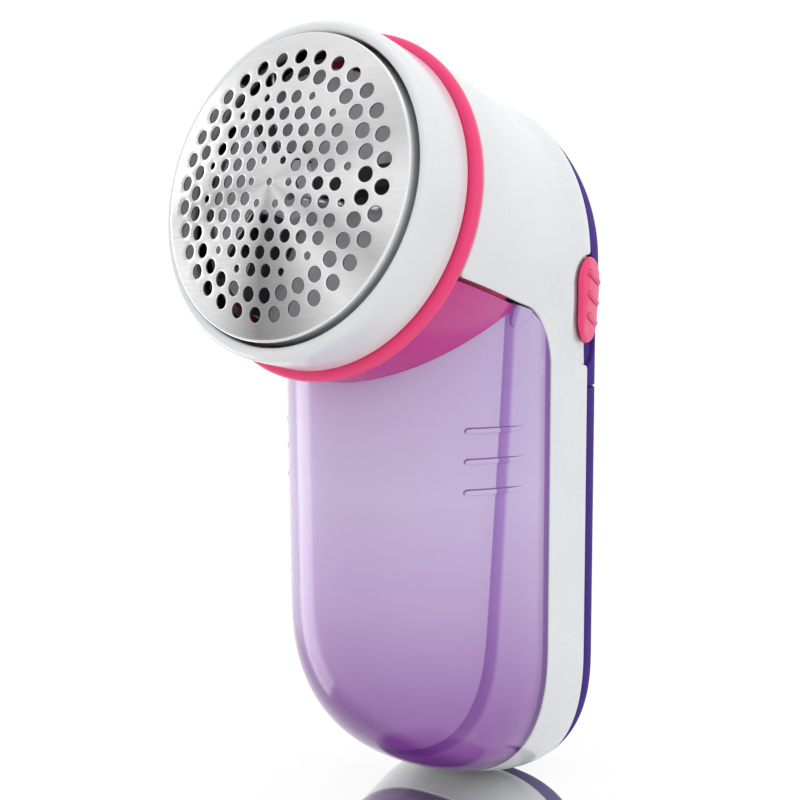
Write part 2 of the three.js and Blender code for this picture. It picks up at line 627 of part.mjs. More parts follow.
head.add(
  mesh('foil_screen', foilScreen(), STEEL),
  mesh('head_ring', headRingPart(), WHITE),
  mesh('trim_ring', trimRing(), PINK),
  mesh('fan_chamber', fanChamber(), PINK),
  mesh('cutter_hub', cutterHub(), DARK),
  mesh('cutter_spring', coilSpring(3.0, 0.4, -16.4, -9.4, 4), STEEL),
  mesh('impeller', impeller(), DARK),
  mesh('motor_shaft', rotorShaft(), STEEL),
  mesh('motor_can', motorCan(), SILVER),
  mesh('motor_end_cap', disc(11.4, -59.2, -56.8, 24), WHITE),
  mesh('motor_bracket', motorBracket(), WHITE),
);
for (const k of [0, 1, 2]) head.add(mesh(`cutter_blade_${k + 1}`, bladeSolid(k, 0), STEEL));
for (const [name, side] of cellSides) {
  const terminal = box(side * 5 - 1.2, side * 5 + 1.2, -63.2, -59.5, -0.25, 0.25);
  head.add(mesh(`motor_terminal_${name}`, terminal, BRASS));
  head.add(mesh(`bracket_screw_${name}`, bracketScrew(side), SILVER));
}

frame.add(
  mesh('front_casing', frontCasing(), WHITE),
  mesh('back_cover', backCover(), PURPLE),
  mesh('battery_door', batteryDoor(), PURPLE),
  mesh('lint_container', lintContainer(), LILAC),
  mesh('battery_tray', batteryTray(), WHITE),
  mesh('contact_bridge', contactBridge(), SILVER),
  mesh('switch_button', switchButton(), PINK),
  mesh('switch_slider', switchSlider(), WHITE),
  mesh('switch_body', switchBody(), DARK),
  mesh('container_latch', containerLatch(), SILVER),
);
for (const [name, side] of cellSides) {
  frame.add(mesh(`battery_cell_${name}`, batteryCell(side), GREEN));
  frame.add(mesh(`contact_plate_${name}`, contactPlate(side), SILVER));
  frame.add(mesh(`casing_screw_${name}`, casingScrew(side), SILVER));
}
for (const [name, { route, finish }] of Object.entries(LEADS)) {
  frame.add(mesh(name, lead(route, 0.6, 12), finish));
}
export default shaver;
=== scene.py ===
"""Fabric shaver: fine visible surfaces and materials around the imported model."""

import json
import math

import bpy
import numpy as np
from mathutils import Matrix, Vector
from mathutils.geometry import delaunay_2d_cdt


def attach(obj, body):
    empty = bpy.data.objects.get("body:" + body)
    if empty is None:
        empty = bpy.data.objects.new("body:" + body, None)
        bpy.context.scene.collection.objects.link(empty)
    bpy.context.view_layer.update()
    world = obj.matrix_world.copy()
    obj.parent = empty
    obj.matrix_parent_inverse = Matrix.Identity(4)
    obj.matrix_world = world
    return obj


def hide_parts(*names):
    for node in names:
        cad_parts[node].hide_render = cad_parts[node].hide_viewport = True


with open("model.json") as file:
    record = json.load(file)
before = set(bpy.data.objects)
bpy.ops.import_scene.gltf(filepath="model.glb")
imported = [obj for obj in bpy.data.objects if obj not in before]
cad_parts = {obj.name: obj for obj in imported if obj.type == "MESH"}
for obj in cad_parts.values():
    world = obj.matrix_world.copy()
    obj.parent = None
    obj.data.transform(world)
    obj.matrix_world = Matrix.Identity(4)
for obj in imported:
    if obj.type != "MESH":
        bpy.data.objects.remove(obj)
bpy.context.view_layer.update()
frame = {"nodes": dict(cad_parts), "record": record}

# -------- dimensions, mm, in the foil-centred frame
FOIL = np.array([0.0, -33.99, 110.21])                    # the foil's centre in the row frame
TILT = math.radians(10.8)
AXIS = np.array([0.0, -math.cos(TILT), math.sin(TILT)])   # head axis, forward; a place along it is called s
UP = np.array([0.0, math.sin(TILT), math.cos(TILT)])      # square to the head axis, upward; called u
SIDE = np.array([1.0, 0.0, 0.0])                          # towards the switch
FAR = 1e3                       # further than anything on the object

TUBE_RADIUS = 29.2              # the tube behind the head
TUBE_CUT_S = -4.0               # in front of this there is no tube
TUBE_FRONT_S = -14.2            # where the casing starts on it
TUBE_ROUND_S = -41.0            # where its closed rear end starts to round
TUBE_END_S = -71.45
TUBE_POWER = 3.6                # a higher power makes a squarer rounding
TUBE_TAPER = 0.08               # share of the width lost towards the rear
TAPER_START_S = -18.0
TAPER_LENGTH = 28.0

HALF_WIDTH = 25.0               # the handle
FRONT_Y = 14.1
FRONT_ROUND_Y = 38.5            # the front is half an ellipse up to this depth
REAR_ROUND_Y = 53.0             # the rear rounds off from this depth
BACK_Y = 71.5
REAR_POWER = 3
FRONT_DRAFT = 0.028             # going down, the front moves back by this share of the height
BOTTOM_START_Z = -79.0
BOTTOM_DEPTH = 28.7
BOTTOM_SLOPE = 0.32             # going back, the bottom's rounding starts lower by this share
BOTTOM_POWER = 2.5
TOP_START_Z = -26.0
TOP_HEIGHT = 41.0
TOP_POWER = 3
CENTRE_Y = 42.3
LEVEL_SCALE = 26.0              # makes the handle's level roughly a distance in mm
BLEND = 2.0                     # the fillet between tube and handle, and what is added to it on the flanks
FLANK_BLEND = 5.0
FLANK_END_Y = 62.0
FLANK_FADE_FRONT, FLANK_FADE_REAR = 9.0, 10.0

CONTAINER_SEAM_Y = 43.4         # seams
COVER_SEAM_Y = 57.8
SEAM_STEP = 3.6                 # the cover's seam steps forward behind the switch, between two heights
SEAM_STEP_LOW_Z = -30.0
SEAM_STEP_HIGH_Z = -8.0
DOOR_SEAM_Z = -34.0
HOOD_SEAM_U = -12.3
HOOD_CORNER = 8.5               # radius of the corner between the container's two seams
HOOD_STEP = 0.7                 # the hood lies this far below the tube's surface
HOOD_FRONT_GAP = 0.3
HOOD_OVERLAP = 1.0              # how far the hood goes into the cup
CUP_OVERLAP = 0.1               # how far the cup goes into the hood
CORNER_FRONT_Y = 31.0           # the fillet between hood and cup starts here
HALF_GAP = 0.15
EDGE_RADIUS = 0.3

CASING_WALL = 2.2               # walls
COVER_WALL = 1.8
CONTAINER_WALL = 1.6
CORNER_WALL = 1.4
CAP_WALL = 1.2
BED_WALL = 0.8

SWITCH_Y = 54.7                 # the switch and its recess
SWITCH_Z = -17.8
SWITCH_LENGTH = 15.8
SWITCH_WIDTH = 9.6
SWITCH_TRAVEL = 3.8
SWITCH_LEAN = 0.186             # its upper end leans forward by this share of the height
RECESS_SIDE_GAP = 1.0
RECESS_END_GAPS = 0.6           # both ends together
BED_DEPTH = 0.8
CAP_LIFT = 0.75
RIDGE_PITCH = 3.75

HOLE_PITCH = 3.2                # the foil
FOIL_TURN = math.radians(-4.4)
FOIL_RIM = 24.6
FOIL_THICKNESS = 0.4
RING_HOLES = 32                 # in each of its two outer rings


def metres(points):
    """Points of the foil-centred frame in the row frame, in metres."""
    return (np.asarray(points, float).reshape(-1, 3) + FOIL) / 1000.0


def signed_volume(mesh):
    """The volume inside a closed mesh, negative where its faces look inwards."""
    mesh.calc_loop_triangles()
    corners = np.empty(3 * len(mesh.vertices))
    index = np.empty(3 * len(mesh.loop_triangles), dtype=np.int32)
    mesh.vertices.foreach_get("co", corners)
    mesh.loop_triangles.foreach_get("vertices", index)
    a, b, c = corners.reshape(-1, 3)[index.reshape(-1, 3)].transpose(1, 0, 2)
    return np.einsum("ij,ij->", a, np.cross(b, c)) / 6


def make_object(name, points, faces, sharp=35, normals=None):
    """A mesh object from points in the foil-centred frame, shaded with its own normals if they are given."""
    mesh = bpy.data.meshes.new(name)
    mesh.from_pydata([tuple(p) for p in metres(points)], [], [tuple(int(i) for i in f) for f in faces])
    mesh.validate()
    if signed_volume(mesh) < 0:
        mesh.flip_normals()
    mesh.shade_smooth()
    if normals is None:
        mesh.set_sharp_from_angle(angle=math.radians(sharp))
    else:
        mesh.normals_split_custom_set_from_vertices([tuple(n) for n in normals])
    made = bpy.data.objects.new(name, mesh)
    bpy.context.scene.collection.objects.link(made)
    return made


# -------- outer forms as level functions
def smooth_min(a, b, k):
    h = np.clip(0.5 + 0.5 * (b - a) / k, 0, 1)
    return b * (1 - h) + a * h - k * h * (1 - h)


def smooth_step(t):
    t = np.clip(t, 0, 1)
    return t * t * (3 - 2 * t)


def tube_level(p, inset=0.0):
    """Near the tube behind the head: roughly the distance to its surface, negative inside."""
    x, u, s = p[:, 0], p @ UP, p @ AXIS
    radius, length = TUBE_RADIUS - inset, TUBE_ROUND_S - TUBE_END_S - inset
    across = x / (1 - TUBE_TAPER * smooth_step((TAPER_START_S - s) / TAPER_LENGTH))
    behind = np.clip(TUBE_ROUND_S - s, 0, None) / length
    q = (np.hypot(across, u) / radius) ** TUBE_POWER + behind ** TUBE_POWER
    return np.maximum((q ** (1 / TUBE_POWER) - 1) * radius, s - TUBE_CUT_S)


def plan_level(x, y, front_depth):
    """The handle's plan: 1 on its outline, less inside."""
    across = np.abs(x) / HALF_WIDTH
    ahead = np.clip(FRONT_ROUND_Y - y, 0, None) / front_depth
    behind = np.clip(y - REAR_ROUND_Y, 0, None) / (BACK_Y - REAR_ROUND_Y)
    rear = (across ** REAR_POWER + behind ** REAR_POWER) ** (1 / REAR_POWER)
    return np.where(y > REAR_ROUND_Y, rear, np.hypot(across, ahead))


def handle_level(p):
    """Near the handle: roughly the distance to its surface, negative inside."""
    x, y, z = p.T
    below_top = np.clip(TOP_START_Z - z, 0, TOP_START_Z - BOTTOM_START_Z)
    front_depth = FRONT_ROUND_Y - FRONT_Y - FRONT_DRAFT * below_top
    # the scale, about the centre line, at which the plan's outline passes through the point
    scale = np.clip(plan_level(x, y, front_depth), 0.02, 8)
    for _ in range(9):
        scale = scale * np.clip(plan_level(x / scale, CENTRE_Y + (y - CENTRE_Y) / scale, front_depth), 0.2, 4)
    down = np.clip(BOTTOM_START_Z - BOTTOM_SLOPE * (y - CENTRE_Y) - z, 0, None) / BOTTOM_DEPTH
    up = np.clip(z - TOP_START_Z, 0, None) / TOP_HEIGHT
    low = (scale ** BOTTOM_POWER + down ** BOTTOM_POWER) ** (1 / BOTTOM_POWER)
    high = (scale ** TOP_POWER + up ** TOP_POWER) ** (1 / TOP_POWER)
    return (np.where(z < TOP_START_Z, low, high) - 1) * LEVEL_SCALE


def body_level(p):
    """Tube and handle with a soft blend between them."""
    y = p[:, 1]
    on_flank = np.clip((FLANK_END_Y - y) / FLANK_FADE_REAR, 0, 1)
    blend = BLEND + FLANK_BLEND * on_flank * smooth_step((y - CONTAINER_SEAM_Y) / FLANK_FADE_FRONT)
    return smooth_min(tube_level(p), handle_level(p), blend)


def gradient(level, p, step=0.02):
    found = np.empty_like(p)
    for axis in range(3):
        shift = np.zeros(3)
        shift[axis] = step
        found[:, axis] = (level(p + shift) - level(p - shift)) / (2 * step)
    return found


def unit(v):
    return v / np.clip(np.linalg.norm(v, axis=1), 1e-9, None)[:, None]


# -------- seams, as signed distances in mm
def container_zone(p):
    """Positive inside the lint container's zone, in front of and below its seam."""
    ahead = CONTAINER_SEAM_Y - p[:, 1]
    below = HOOD_SEAM_U - p @ UP
    corner = HOOD_CORNER - np.hypot(HOOD_CORNER - ahead, HOOD_CORNER - below)
    rounded = (ahead < HOOD_CORNER) & (below < HOOD_CORNER)
    return np.where(rounded, corner, np.minimum(ahead, below))


def cover_seam(z):
    """Y of the seam between the white casing and the purple cover."""
    share = (z - SEAM_STEP_LOW_Z) / (SEAM_STEP_HIGH_Z - SEAM_STEP_LOW_Z)
    return COVER_SEAM_Y - SEAM_STEP * smooth_step(share)


def stadium(p, half_width, length, middle):
    """Distance outside a stadium on the switch side; large on the other side."""
    reach = length / 2 - half_width
    dz = np.clip(p[:, 2], middle - reach, middle + reach) - p[:, 2]
    away = np.hypot(p[:, 1] - SWITCH_Y - SWITCH_LEAN * (SWITCH_Z - p[:, 2]), dz) - half_width
    return np.where(p[:, 0] > 0, away, FAR)


def recess(p):
    """Distance outside the recess in which the switch slides."""
    length = SWITCH_LENGTH + SWITCH_TRAVEL + RECESS_END_GAPS
    return stadium(p, SWITCH_WIDTH / 2 + RECESS_SIDE_GAP, length, SWITCH_Z - SWITCH_TRAVEL / 2)


def every(*parts, k=0.7):
    """The zone inside all the given zones, with corners rounded by about k."""
    total = parts[0]
    for part in parts[1:]:
        total = smooth_min(total, part, k)
    return total


def white_zone(p):
    return every(cover_seam(p[:, 2]) - HALF_GAP - p[:, 1], -container_zone(p) - HALF_GAP,
                 TUBE_FRONT_S - p @ AXIS, recess(p))


def cover_zone(p):
    return every(p[:, 1] - cover_seam(p[:, 2]) - HALF_GAP, p[:, 2] - DOOR_SEAM_Z - HALF_GAP, recess(p))


def door_zone(p):
    return every(p[:, 1] - cover_seam(p[:, 2]) - HALF_GAP, DOOR_SEAM_Z - HALF_GAP - p[:, 2])


def hood_zone(p):
    return every(container_zone(p) - HALF_GAP, TUBE_FRONT_S - HOOD_FRONT_GAP - p @ AXIS,
                 handle_level(p) + HOOD_OVERLAP, k=0.4)


def cup_zone(p):
    return every(container_zone(p) - HALF_GAP, tube_level(p, HOOD_STEP) + CUP_OVERLAP, k=0.4)


# -------- surfaces cut along seams and made thick
def box_grid(xs, ys, zs):
    """Points and outward quads of a box whose sides carry the grid lines xs, ys, zs."""
    lines = (np.asarray(xs), np.asarray(ys), np.asarray(zs))
    index, points, quads = {}, [], []

    def vertex(key):
        if key not in index:
            index[key] = len(points)
            points.append([lines[a][key[a]] for a in range(3)])
        return index[key]

    for axis in range(3):
        a, b = (axis + 1) % 3, (axis + 2) % 3
        for end in (0, len(lines[axis]) - 1):
            for i in range(len(lines[a]) - 1):
                for j in range(len(lines[b]) - 1):
                    loop = []
                    for di, dj in ((0, 0), (1, 0), (1, 1), (0, 1)):
                        key = [0, 0, 0]
                        key[axis], key[a], key[b] = end, i + di, j + dj
                        loop.append(vertex(tuple(key)))
                    quads.append(loop if end else loop[::-1])
    return np.array(points, float), np.array(quads)


SPINE_Y = 42.5
BODY_BOX = ((-31, 31), (6, 76), (-113, 32))     # holds the whole body
FINE_SHARE = 0.45                               # the closer spacing of the grid, where it is fine


def spine_surface(level, low, high, spacing, fine_y=(), fine_z=()):
    """The surface level = 0 round a vertical spine from low to high, as points and triangles."""
    def lines(ends, fine):
        made, at = [ends[0]], ends[0]
        while at < ends[1] - 1e-6:
            near = fine and fine[0] <= at < fine[1]
            at = min(ends[1], at + (spacing * FINE_SHARE if near else spacing))
            made.append(at)
        return made

    points, quads = box_grid(*(lines(ends, fine) for ends, fine in zip(BODY_BOX, ((), fine_y, fine_z))))
    count = len(points)
    source = np.column_stack([np.zeros(count), np.full(count, SPINE_Y), np.clip(points[:, 2], low, high)])
    inner, outer = np.zeros(count), np.ones(count) * 1.3
    ray = points - source
    for _ in range(22):
        middle = (inner + outer) / 2
        inside = level(source + ray * middle[:, None]) < 0
        inner, outer = np.where(inside, middle, inner), np.where(inside, outer, middle)
    points = source + ray * ((inner + outer) / 2)[:, None]
    triangles = np.vstack([quads[:, [0, 1, 2]], quads[:, [0, 2, 3]]])
    return points, triangles


def settle(level, zone, p, rounds=4):
    """Moves points onto level = 0 and zone = 0 at once."""
    for _ in range(rounds):
        g = gradient(level, p)
        p = p - g * (level(p) / np.clip((g * g).sum(1), 1e-9, None))[:, None]
        n = unit(g)
        h = gradient(zone, p)
        h = h - n * (h * n).sum(1)[:, None]
        step = np.clip(zone(p) / np.clip((h * h).sum(1), 0.05, None), -0.6, 0.6)
        p = p - h * step[:, None]
    return p


def clip_surface(level, zone, points, triangles, snap=0.16):
    """Keeps the part of a surface where zone is positive, with its edge exactly on zone = 0."""
    value = zone(points)
    near = np.abs(value) < snap
    points = points.copy()
    points[near] = settle(level, zone, points[near])
    value[near] = 0.0
    sign = np.sign(value)[triangles]
    keep = [t for t, s in zip(triangles, sign) if s.min() >= 0 and s.max() > 0]
    mixed = [t for t, s in zip(triangles, sign) if s.min() < 0 < s.max()]
    edge_vertex, added = {}, []

    def crossing(a, b):
        key = (min(a, b), max(a, b))
        if key not in edge_vertex:
            share = value[key[0]] / (value[key[0]] - value[key[1]])
            edge_vertex[key] = len(points) + len(added)
            added.append(points[key[0]] + share * (points[key[1]] - points[key[0]]))
        return edge_vertex[key]

    for t in mixed:
        loop = []
        for k in range(3):
            a, b = int(t[k]), int(t[(k + 1) % 3])
            if value[a] >= 0:
                loop.append(a)
            if value[a] * value[b] < 0:
                loop.append(crossing(a, b))
        for k in range(1, len(loop) - 1):
            keep.append(np.array([loop[0], loop[k], loop[k + 1]]))
    if added:
        points = np.vstack([points, settle(level, zone, np.array(added))])
    keep = np.array(keep)
    used = np.unique(keep)
    remap = np.full(len(points), -1)
    remap[used] = np.arange(len(used))
    return points[used], remap[keep]


def rim_edges(triangles):
    """The edges that only one triangle has, each in that triangle's direction."""
    seen = {}
    for t in triangles:
        for k in range(3):
            seen[(int(t[k]), int(t[(k + 1) % 3]))] = True
    return [(a, b) for a, b in seen if (b, a) not in seen]


def thicken(level, zone, points, triangles, wall, radius=EDGE_RADIUS, lift=0.0, steps=4):
    """Gives a clipped surface a wall and rounded seam edges; returns points, faces and normals."""
    normal = unit(gradient(level, points))
    outer = points + normal * lift
    inner = outer - normal * wall
    edges = rim_edges(triangles)
    rim = sorted({v for e in edges for v in e})
    row_of = {v: k for k, v in enumerate(rim)}
    n = normal[rim]
    m = gradient(zone, points[rim])
    m = unit(m - n * (m * n).sum(1)[:, None])
    base = outer[rim]
    rows, row_normals = [], []
    for k in range(1, steps + 1):
        turn = (k / steps) * math.pi / 2
        rows.append(base - m * radius * math.sin(turn) - n * radius * (1 - math.cos(turn)))
        row_normals.append(n * math.cos(turn) - m * math.sin(turn))
    rows.append(base - m * radius - n * (wall - radius * 0.5))
    rows.append(base - m * radius * 0.5 - n * wall)
    row_normals += [-m, unit(-m - n)]
    count = len(points)
    stacked = np.vstack([outer, inner, *rows])
    normals = np.vstack([normal, -normal, *row_normals])
    faces = [tuple(t) for t in triangles] + [(t[0] + count, t[2] + count, t[1] + count) for t in triangles]

    def chain(v):
        """The points from a rim vertex round the rounded edge to the inner side."""
        return [v, *(2 * count + k * len(rim) + row_of[v] for k in range(len(rows))), v + count]

    for a, b in edges:
        one, two = chain(a), chain(b)
        for k in range(len(one) - 1):
            faces.append((two[k], one[k], one[k + 1], two[k + 1]))
    return stacked, faces, normals


def shell_piece(name, level, zone, surface, wall, **options):
    """An object from the part of a surface inside a zone, with a wall and rounded edges within the zone."""
    radius = options.get("radius", EDGE_RADIUS)
    inside = lambda p: zone(p) - radius
    points, triangles = clip_surface(level, inside, *surface)
    points, faces, normals = thicken(level, inside, points, triangles, wall, **options)
    return make_object(name, points, faces, normals=normals)


# -------- turned pieces
def fillet(outline, radius, steps=5):
    """A closed outline with its corners rounded; radius may be one number or one for each corner."""
    outline = [np.array(p, float) for p in outline]
    radii = radius if hasattr(radius, "__len__") else [radius] * len(outline)
    made = []
    for k, corner in enumerate(outline):
        before, after = outline[k - 1] - corner, outline[(k + 1) % len(outline)] - corner
        reach = min(radii[k], 0.48 * np.linalg.norm(before), 0.48 * np.linalg.norm(after))
        if reach < 1e-3:
            made.append(corner)
            continue
        start = corner + before / np.linalg.norm(before) * reach
        stop = corner + after / np.linalg.norm(after) * reach
        for i in range(steps + 1):
            t = i / steps
            made.append(start * (1 - t) ** 2 + corner * 2 * t * (1 - t) + stop * t * t)
    return made


def turned(name, outline):
    """A ring about the head axis from a closed outline of (radius, s)."""
    segments, count = 160, len(outline)
    angles = np.arange(segments) * 2 * math.pi / segments
    points = [r * (math.cos(a) * SIDE + math.sin(a) * UP) + s * AXIS for a in angles for r, s in outline]
    area = sum(outline[k - 1][0] * outline[k][1] - outline[k][0] * outline[k - 1][1] for k in range(count))
    faces = []
    for i in range(segments):
        j = (i + 1) % segments
        for k in range(count):
            nxt = (k + 1) % count
            quad = (i * count + k, j * count + k, j * count + nxt, i * count + nxt)
            faces.append(quad if area < 0 else quad[::-1])
    return make_object(name, points, faces)


def bar_faces(rings, row):
    """Faces of a closed bar: quads between rings of row points each, and a cap at each end."""
    faces = []
    for k in range(rings - 1):
        for i in range(row):
            j = (i + 1) % row
            faces.append((k * row + i, k * row + j, (k + 1) * row + j, (k + 1) * row + i))
    return faces + [list(range(row))[::-1], [(rings - 1) * row + i for i in range(row)]]


# -------- foil
def dome(r):
    """How far the foil stands forward of its centre plane, at a distance r from the axis."""
    part = r / (7 * HOLE_PITCH)
    return HOLE_PITCH * (0.798 * (1 - part ** 2) - 0.065 * (1 - part ** 4))


def foil_holes():
    """(x, u, radius) of each hole: two rings round a triangular lattice with small holes in its middle."""
    ring_radius, lattice_radius, small_radius, centre_radius = 1.24, 1.06, 0.64, 0.6
    holes = [(0.0, 0.0, centre_radius)]

    def add(r, angle, radius):
        holes.append((r * math.cos(angle), r * math.sin(angle), radius))

    for k in range(RING_HOLES):
        add(6.49 * HOLE_PITCH, FOIL_TURN + k * math.pi / (RING_HOLES / 2), ring_radius)
        add(5.55 * HOLE_PITCH, FOIL_TURN + (k + 0.5) * math.pi / (RING_HOLES / 2), ring_radius)
    for k in range(6):
        add(1.242 * HOLE_PITCH, FOIL_TURN + k * math.pi / 3, small_radius)
    for i in range(-6, 7):
        for j in range(-6, 7):
            norm = i * i + i * j + j * j
            if norm <= 1 or norm > 21:
                continue
            x, u = (i + j / 2) * HOLE_PITCH, j * math.sqrt(3) / 2 * HOLE_PITCH
            radius = small_radius if norm == 21 else lattice_radius
            add(math.hypot(x, u), math.atan2(u, x) + FOIL_TURN, radius)
    return holes


def foil_sheet(name):
    """The perforated dome, with a pressed edge round every hole."""
    flat, edges, drop = [], [], []

    def loop(x, u, radius, sides, depth):
        first = len(flat)
        for k in range(sides):
            a = 2 * math.pi * k / sides
            flat.append((x + radius * math.cos(a), u + radius * math.sin(a)))
            drop.append(depth)
            edges.append((first + k, first + (k + 1) % sides))

    holes = foil_holes()
    for x, u, radius in holes:
        sides = 28 if radius > 0.9 else 20
        for wider, depth in ((0.0, 0.13), (0.07, 0.04), (0.2, 0.0)):
            loop(x, u, radius + wider, sides, depth)
    loop(0, 0, FOIL_RIM, 180, 0.0)
    loop(0, 0, FOIL_RIM - 0.8, 150, 0.0)
    centres = np.array([(x, u) for x, u, _ in holes])
    radii = np.array([r for _, _, r in holes])
    step = 0.75
    for i in range(-36, 37):
        for j in range(-42, 43):
            at = np.array([(i + j / 2 % 1) * step, j * step * 0.866])
            if np.hypot(*at) < FOIL_RIM - 1.3 and (np.hypot(*(centres - at).T) > radii + 0.5).all():
                flat.append(tuple(at))
                drop.append(0.0)
    result = delaunay_2d_cdt([Vector(p) for p in flat], edges, [], 0, 1e-5)
    points2, source = np.array([tuple(v) for v in result[0]]), result[3]
    depth = np.array([max((drop[i] for i in found), default=0.0) for found in source])
    triangles = []
    for t in result[2]:
        centre = points2[list(t)].mean(0)
        if (np.hypot(*(centres - centre).T) > radii * 0.985).all() and np.hypot(*centre) < FOIL_RIM:
            a, b, c = (points2[i] for i in t)
            area = (b[0] - a[0]) * (c[1] - a[1]) - (c[0] - a[0]) * (b[1] - a[1])
            if abs(area) > 1e-7:
                triangles.append(tuple(t) if area > 0 else (t[0], t[2], t[1]))
    height = dome(np.hypot(*points2.T)) - depth
    top = points2[:, :1] * SIDE + points2[:, 1:] * UP + height[:, None] * AXIS
    bottom = top + (depth - FOIL_THICKNESS)[:, None] * AXIS
    count = len(top)
    # seen from the front, +X is to the right and +u is up, so counter-clockwise faces look forward
    faces = list(triangles) + [(a + count, c + count, b + count) for a, b, c in triangles]
    for a, b in rim_edges(triangles):
        faces.append((b, a, a + count, b + count))
    points, used = np.vstack([top, bottom]), sorted({i for f in faces for i in f})
    remap = {v: k for k, v in enumerate(used)}
    return make_object(name, points[used], [[remap[i] for i in f] for f in faces], sharp=50)


# -------- raised strips
def strip(name, level, path, widths, heights, lift=0.0, along=(1.0, 0.0, 0.0)):
    """A raised rounded rib on a surface; path is points near it, found again along the given direction."""
    path = np.array(path, float)
    along = np.array(along, float)
    for _ in range(12):
        g = gradient(level, path)
        path = path - along * (level(path) / np.where(np.abs(g @ along) < 0.05, 0.05, g @ along))[:, None]
    n = unit(gradient(level, path))
    forward = unit(np.gradient(path, axis=0))
    across = unit(np.cross(n, forward))
    sections, edge_sunk, root_sunk = 12, 0.05, 0.35
    points = []
    for k in range(len(path)):
        for i in range(sections + 1):
            a = math.pi * i / sections
            rise = lift + heights[k] * math.sin(a) - edge_sunk
            points.append(path[k] + n[k] * rise - across[k] * widths[k] * math.cos(a))
        points.append(path[k] + n[k] * (lift - root_sunk))
    return make_object(name, points, bar_faces(len(path), sections + 2), 60)


# -------- materials
class Tree:
    """The node tree of a material or world, with short calls that add and link the nodes used here."""

    def __init__(self, owner):
        owner.use_nodes = True
        self.nodes, self.links = owner.node_tree.nodes, owner.node_tree.links

    def coordinate(self, kind="Object"):
        return self.nodes.new("ShaderNodeTexCoord").outputs[kind]

    def noise(self, scale, detail=4.0, stretch=(1, 1, 1), turn=0.0):
        mapping = self.nodes.new("ShaderNodeMapping")
        mapping.inputs["Scale"].default_value = stretch
        mapping.inputs["Rotation"].default_value = (0, turn, 0)
        self.links.new(self.coordinate(), mapping.inputs["Vector"])
        made = self.nodes.new("ShaderNodeTexNoise")
        made.inputs["Scale"].default_value = scale
        made.inputs["Detail"].default_value = detail
        self.links.new(mapping.outputs["Vector"], made.inputs["Vector"])
        return made.outputs["Fac"]

    def ramp(self, source, stops):
        """A colour ramp; each stop is a position with a colour or a grey."""
        made = self.nodes.new("ShaderNodeValToRGB")
        elements = made.color_ramp.elements
        while len(elements) < len(stops):
            elements.new(0.5)
        for element, (position, colour) in zip(elements, stops):
            element.position = position
            element.color = (*colour, 1.0) if hasattr(colour, "__len__") else (colour, colour, colour, 1.0)
        self.links.new(source, made.inputs["Fac"])
        return made.outputs["Color"]

    def around(self, source, value, below, above):
        """A ramp from a little under a value to a little over it."""
        return self.ramp(source, [(0.3, shade(value, below)), (0.7, shade(value, above))])

    def mix(self, first, second, factor=1.0, blend="MULTIPLY"):
        made = self.nodes.new("ShaderNodeMix")
        made.data_type = "RGBA"
        made.blend_type = blend
        for source, socket in ((factor, "Factor"), (first, 6), (second, 7)):
            self.feed(source, made.inputs[socket])
        return made.outputs[2]

    def feed(self, source, socket):
        """Links an output to a socket, or sets the socket to a constant."""
        if isinstance(source, bpy.types.NodeSocket):
            self.links.new(source, socket)
        else:
            socket.default_value = source

    def calculate(self, operation, first, second=None):
        made = self.nodes.new("ShaderNodeMath")
        made.operation = operation
        self.links.new(first, made.inputs[0])
        if second is not None:
            self.feed(second, made.inputs[1])
        return made.outputs["Value"]

    def vector_math(self, operation, vector, constant):
        made = self.nodes.new("ShaderNodeVectorMath")
        made.operation = operation
        made.inputs[1].default_value = tuple(constant)
        self.links.new(vector, made.inputs[0])
        return made.outputs["Value" if operation == "DOT_PRODUCT" else "Vector"]

    def axis_share(self, axis, low, high):
        """A 0 to 1 value along one object axis, between two places in metres."""
        split = self.nodes.new("ShaderNodeSeparateXYZ")
        self.links.new(self.coordinate(), split.inputs["Vector"])
        made = self.nodes.new("ShaderNodeMapRange")
        made.inputs["From Min"].default_value = low
        made.inputs["From Max"].default_value = high
        self.links.new(split.outputs[axis], made.inputs["Value"])
        return made.outputs["Result"]

    def from_foil(self):
        """Position from the foil's centre, in metres."""
        return self.vector_math("SUBTRACT", self.coordinate(), FOIL / 1000)

    def share_along(self, direction, start, length):
        """A 0 to 1 value along a direction, from a place in metres from the foil's centre."""
        value = self.vector_math("DOT_PRODUCT", self.from_foil(), direction)
        return self.calculate("MULTIPLY", self.calculate("ADD", value, -start), 1 / length)

    def bump(self, shader, source, strength, distance):
        made = self.nodes.new("ShaderNodeBump")
        made.inputs["Strength"].default_value = strength
        made.inputs["Distance"].default_value = distance
        self.links.new(source, made.inputs["Height"])
        self.links.new(made.outputs["Normal"], shader.inputs["Normal"])


def new_material(name):
    material = bpy.data.materials.new(name)
    tree = Tree(material)
    return material, tree, tree.nodes["Principled BSDF"]


def shade(value, factor):
    """A colour or a grey times a factor, at most 1."""
    if hasattr(value, "__len__"):
        return tuple(min(1.0, c * factor) for c in value)
    return min(1.0, value * factor)


GRAIN_DEPTH = 0.00001           # metres


def plastic(name, colour, rough, coat=0.0, level=0.5, vary=0.03, ior=1.5):
    """Moulded plastic: slight tone drift, faint polish drift and a fine moulded grain."""
    material, tree, shader = new_material(name)
    drift = tree.around(tree.noise(55.0, 3.0), colour, 1 - vary, 1 + vary)
    tree.feed(drift, shader.inputs["Base Color"])
    tree.feed(tree.around(tree.noise(160.0, 5.0), rough, 0.88, 1.12), shader.inputs["Roughness"])
    tree.bump(shader, tree.noise(1800.0, 2.0), 0.08, GRAIN_DEPTH)
    shader.inputs["Specular IOR Level"].default_value = level
    shader.inputs["Coat Weight"].default_value = coat
    shader.inputs["Coat Roughness"].default_value = 0.06
    shader.inputs["IOR"].default_value = ior
    return material


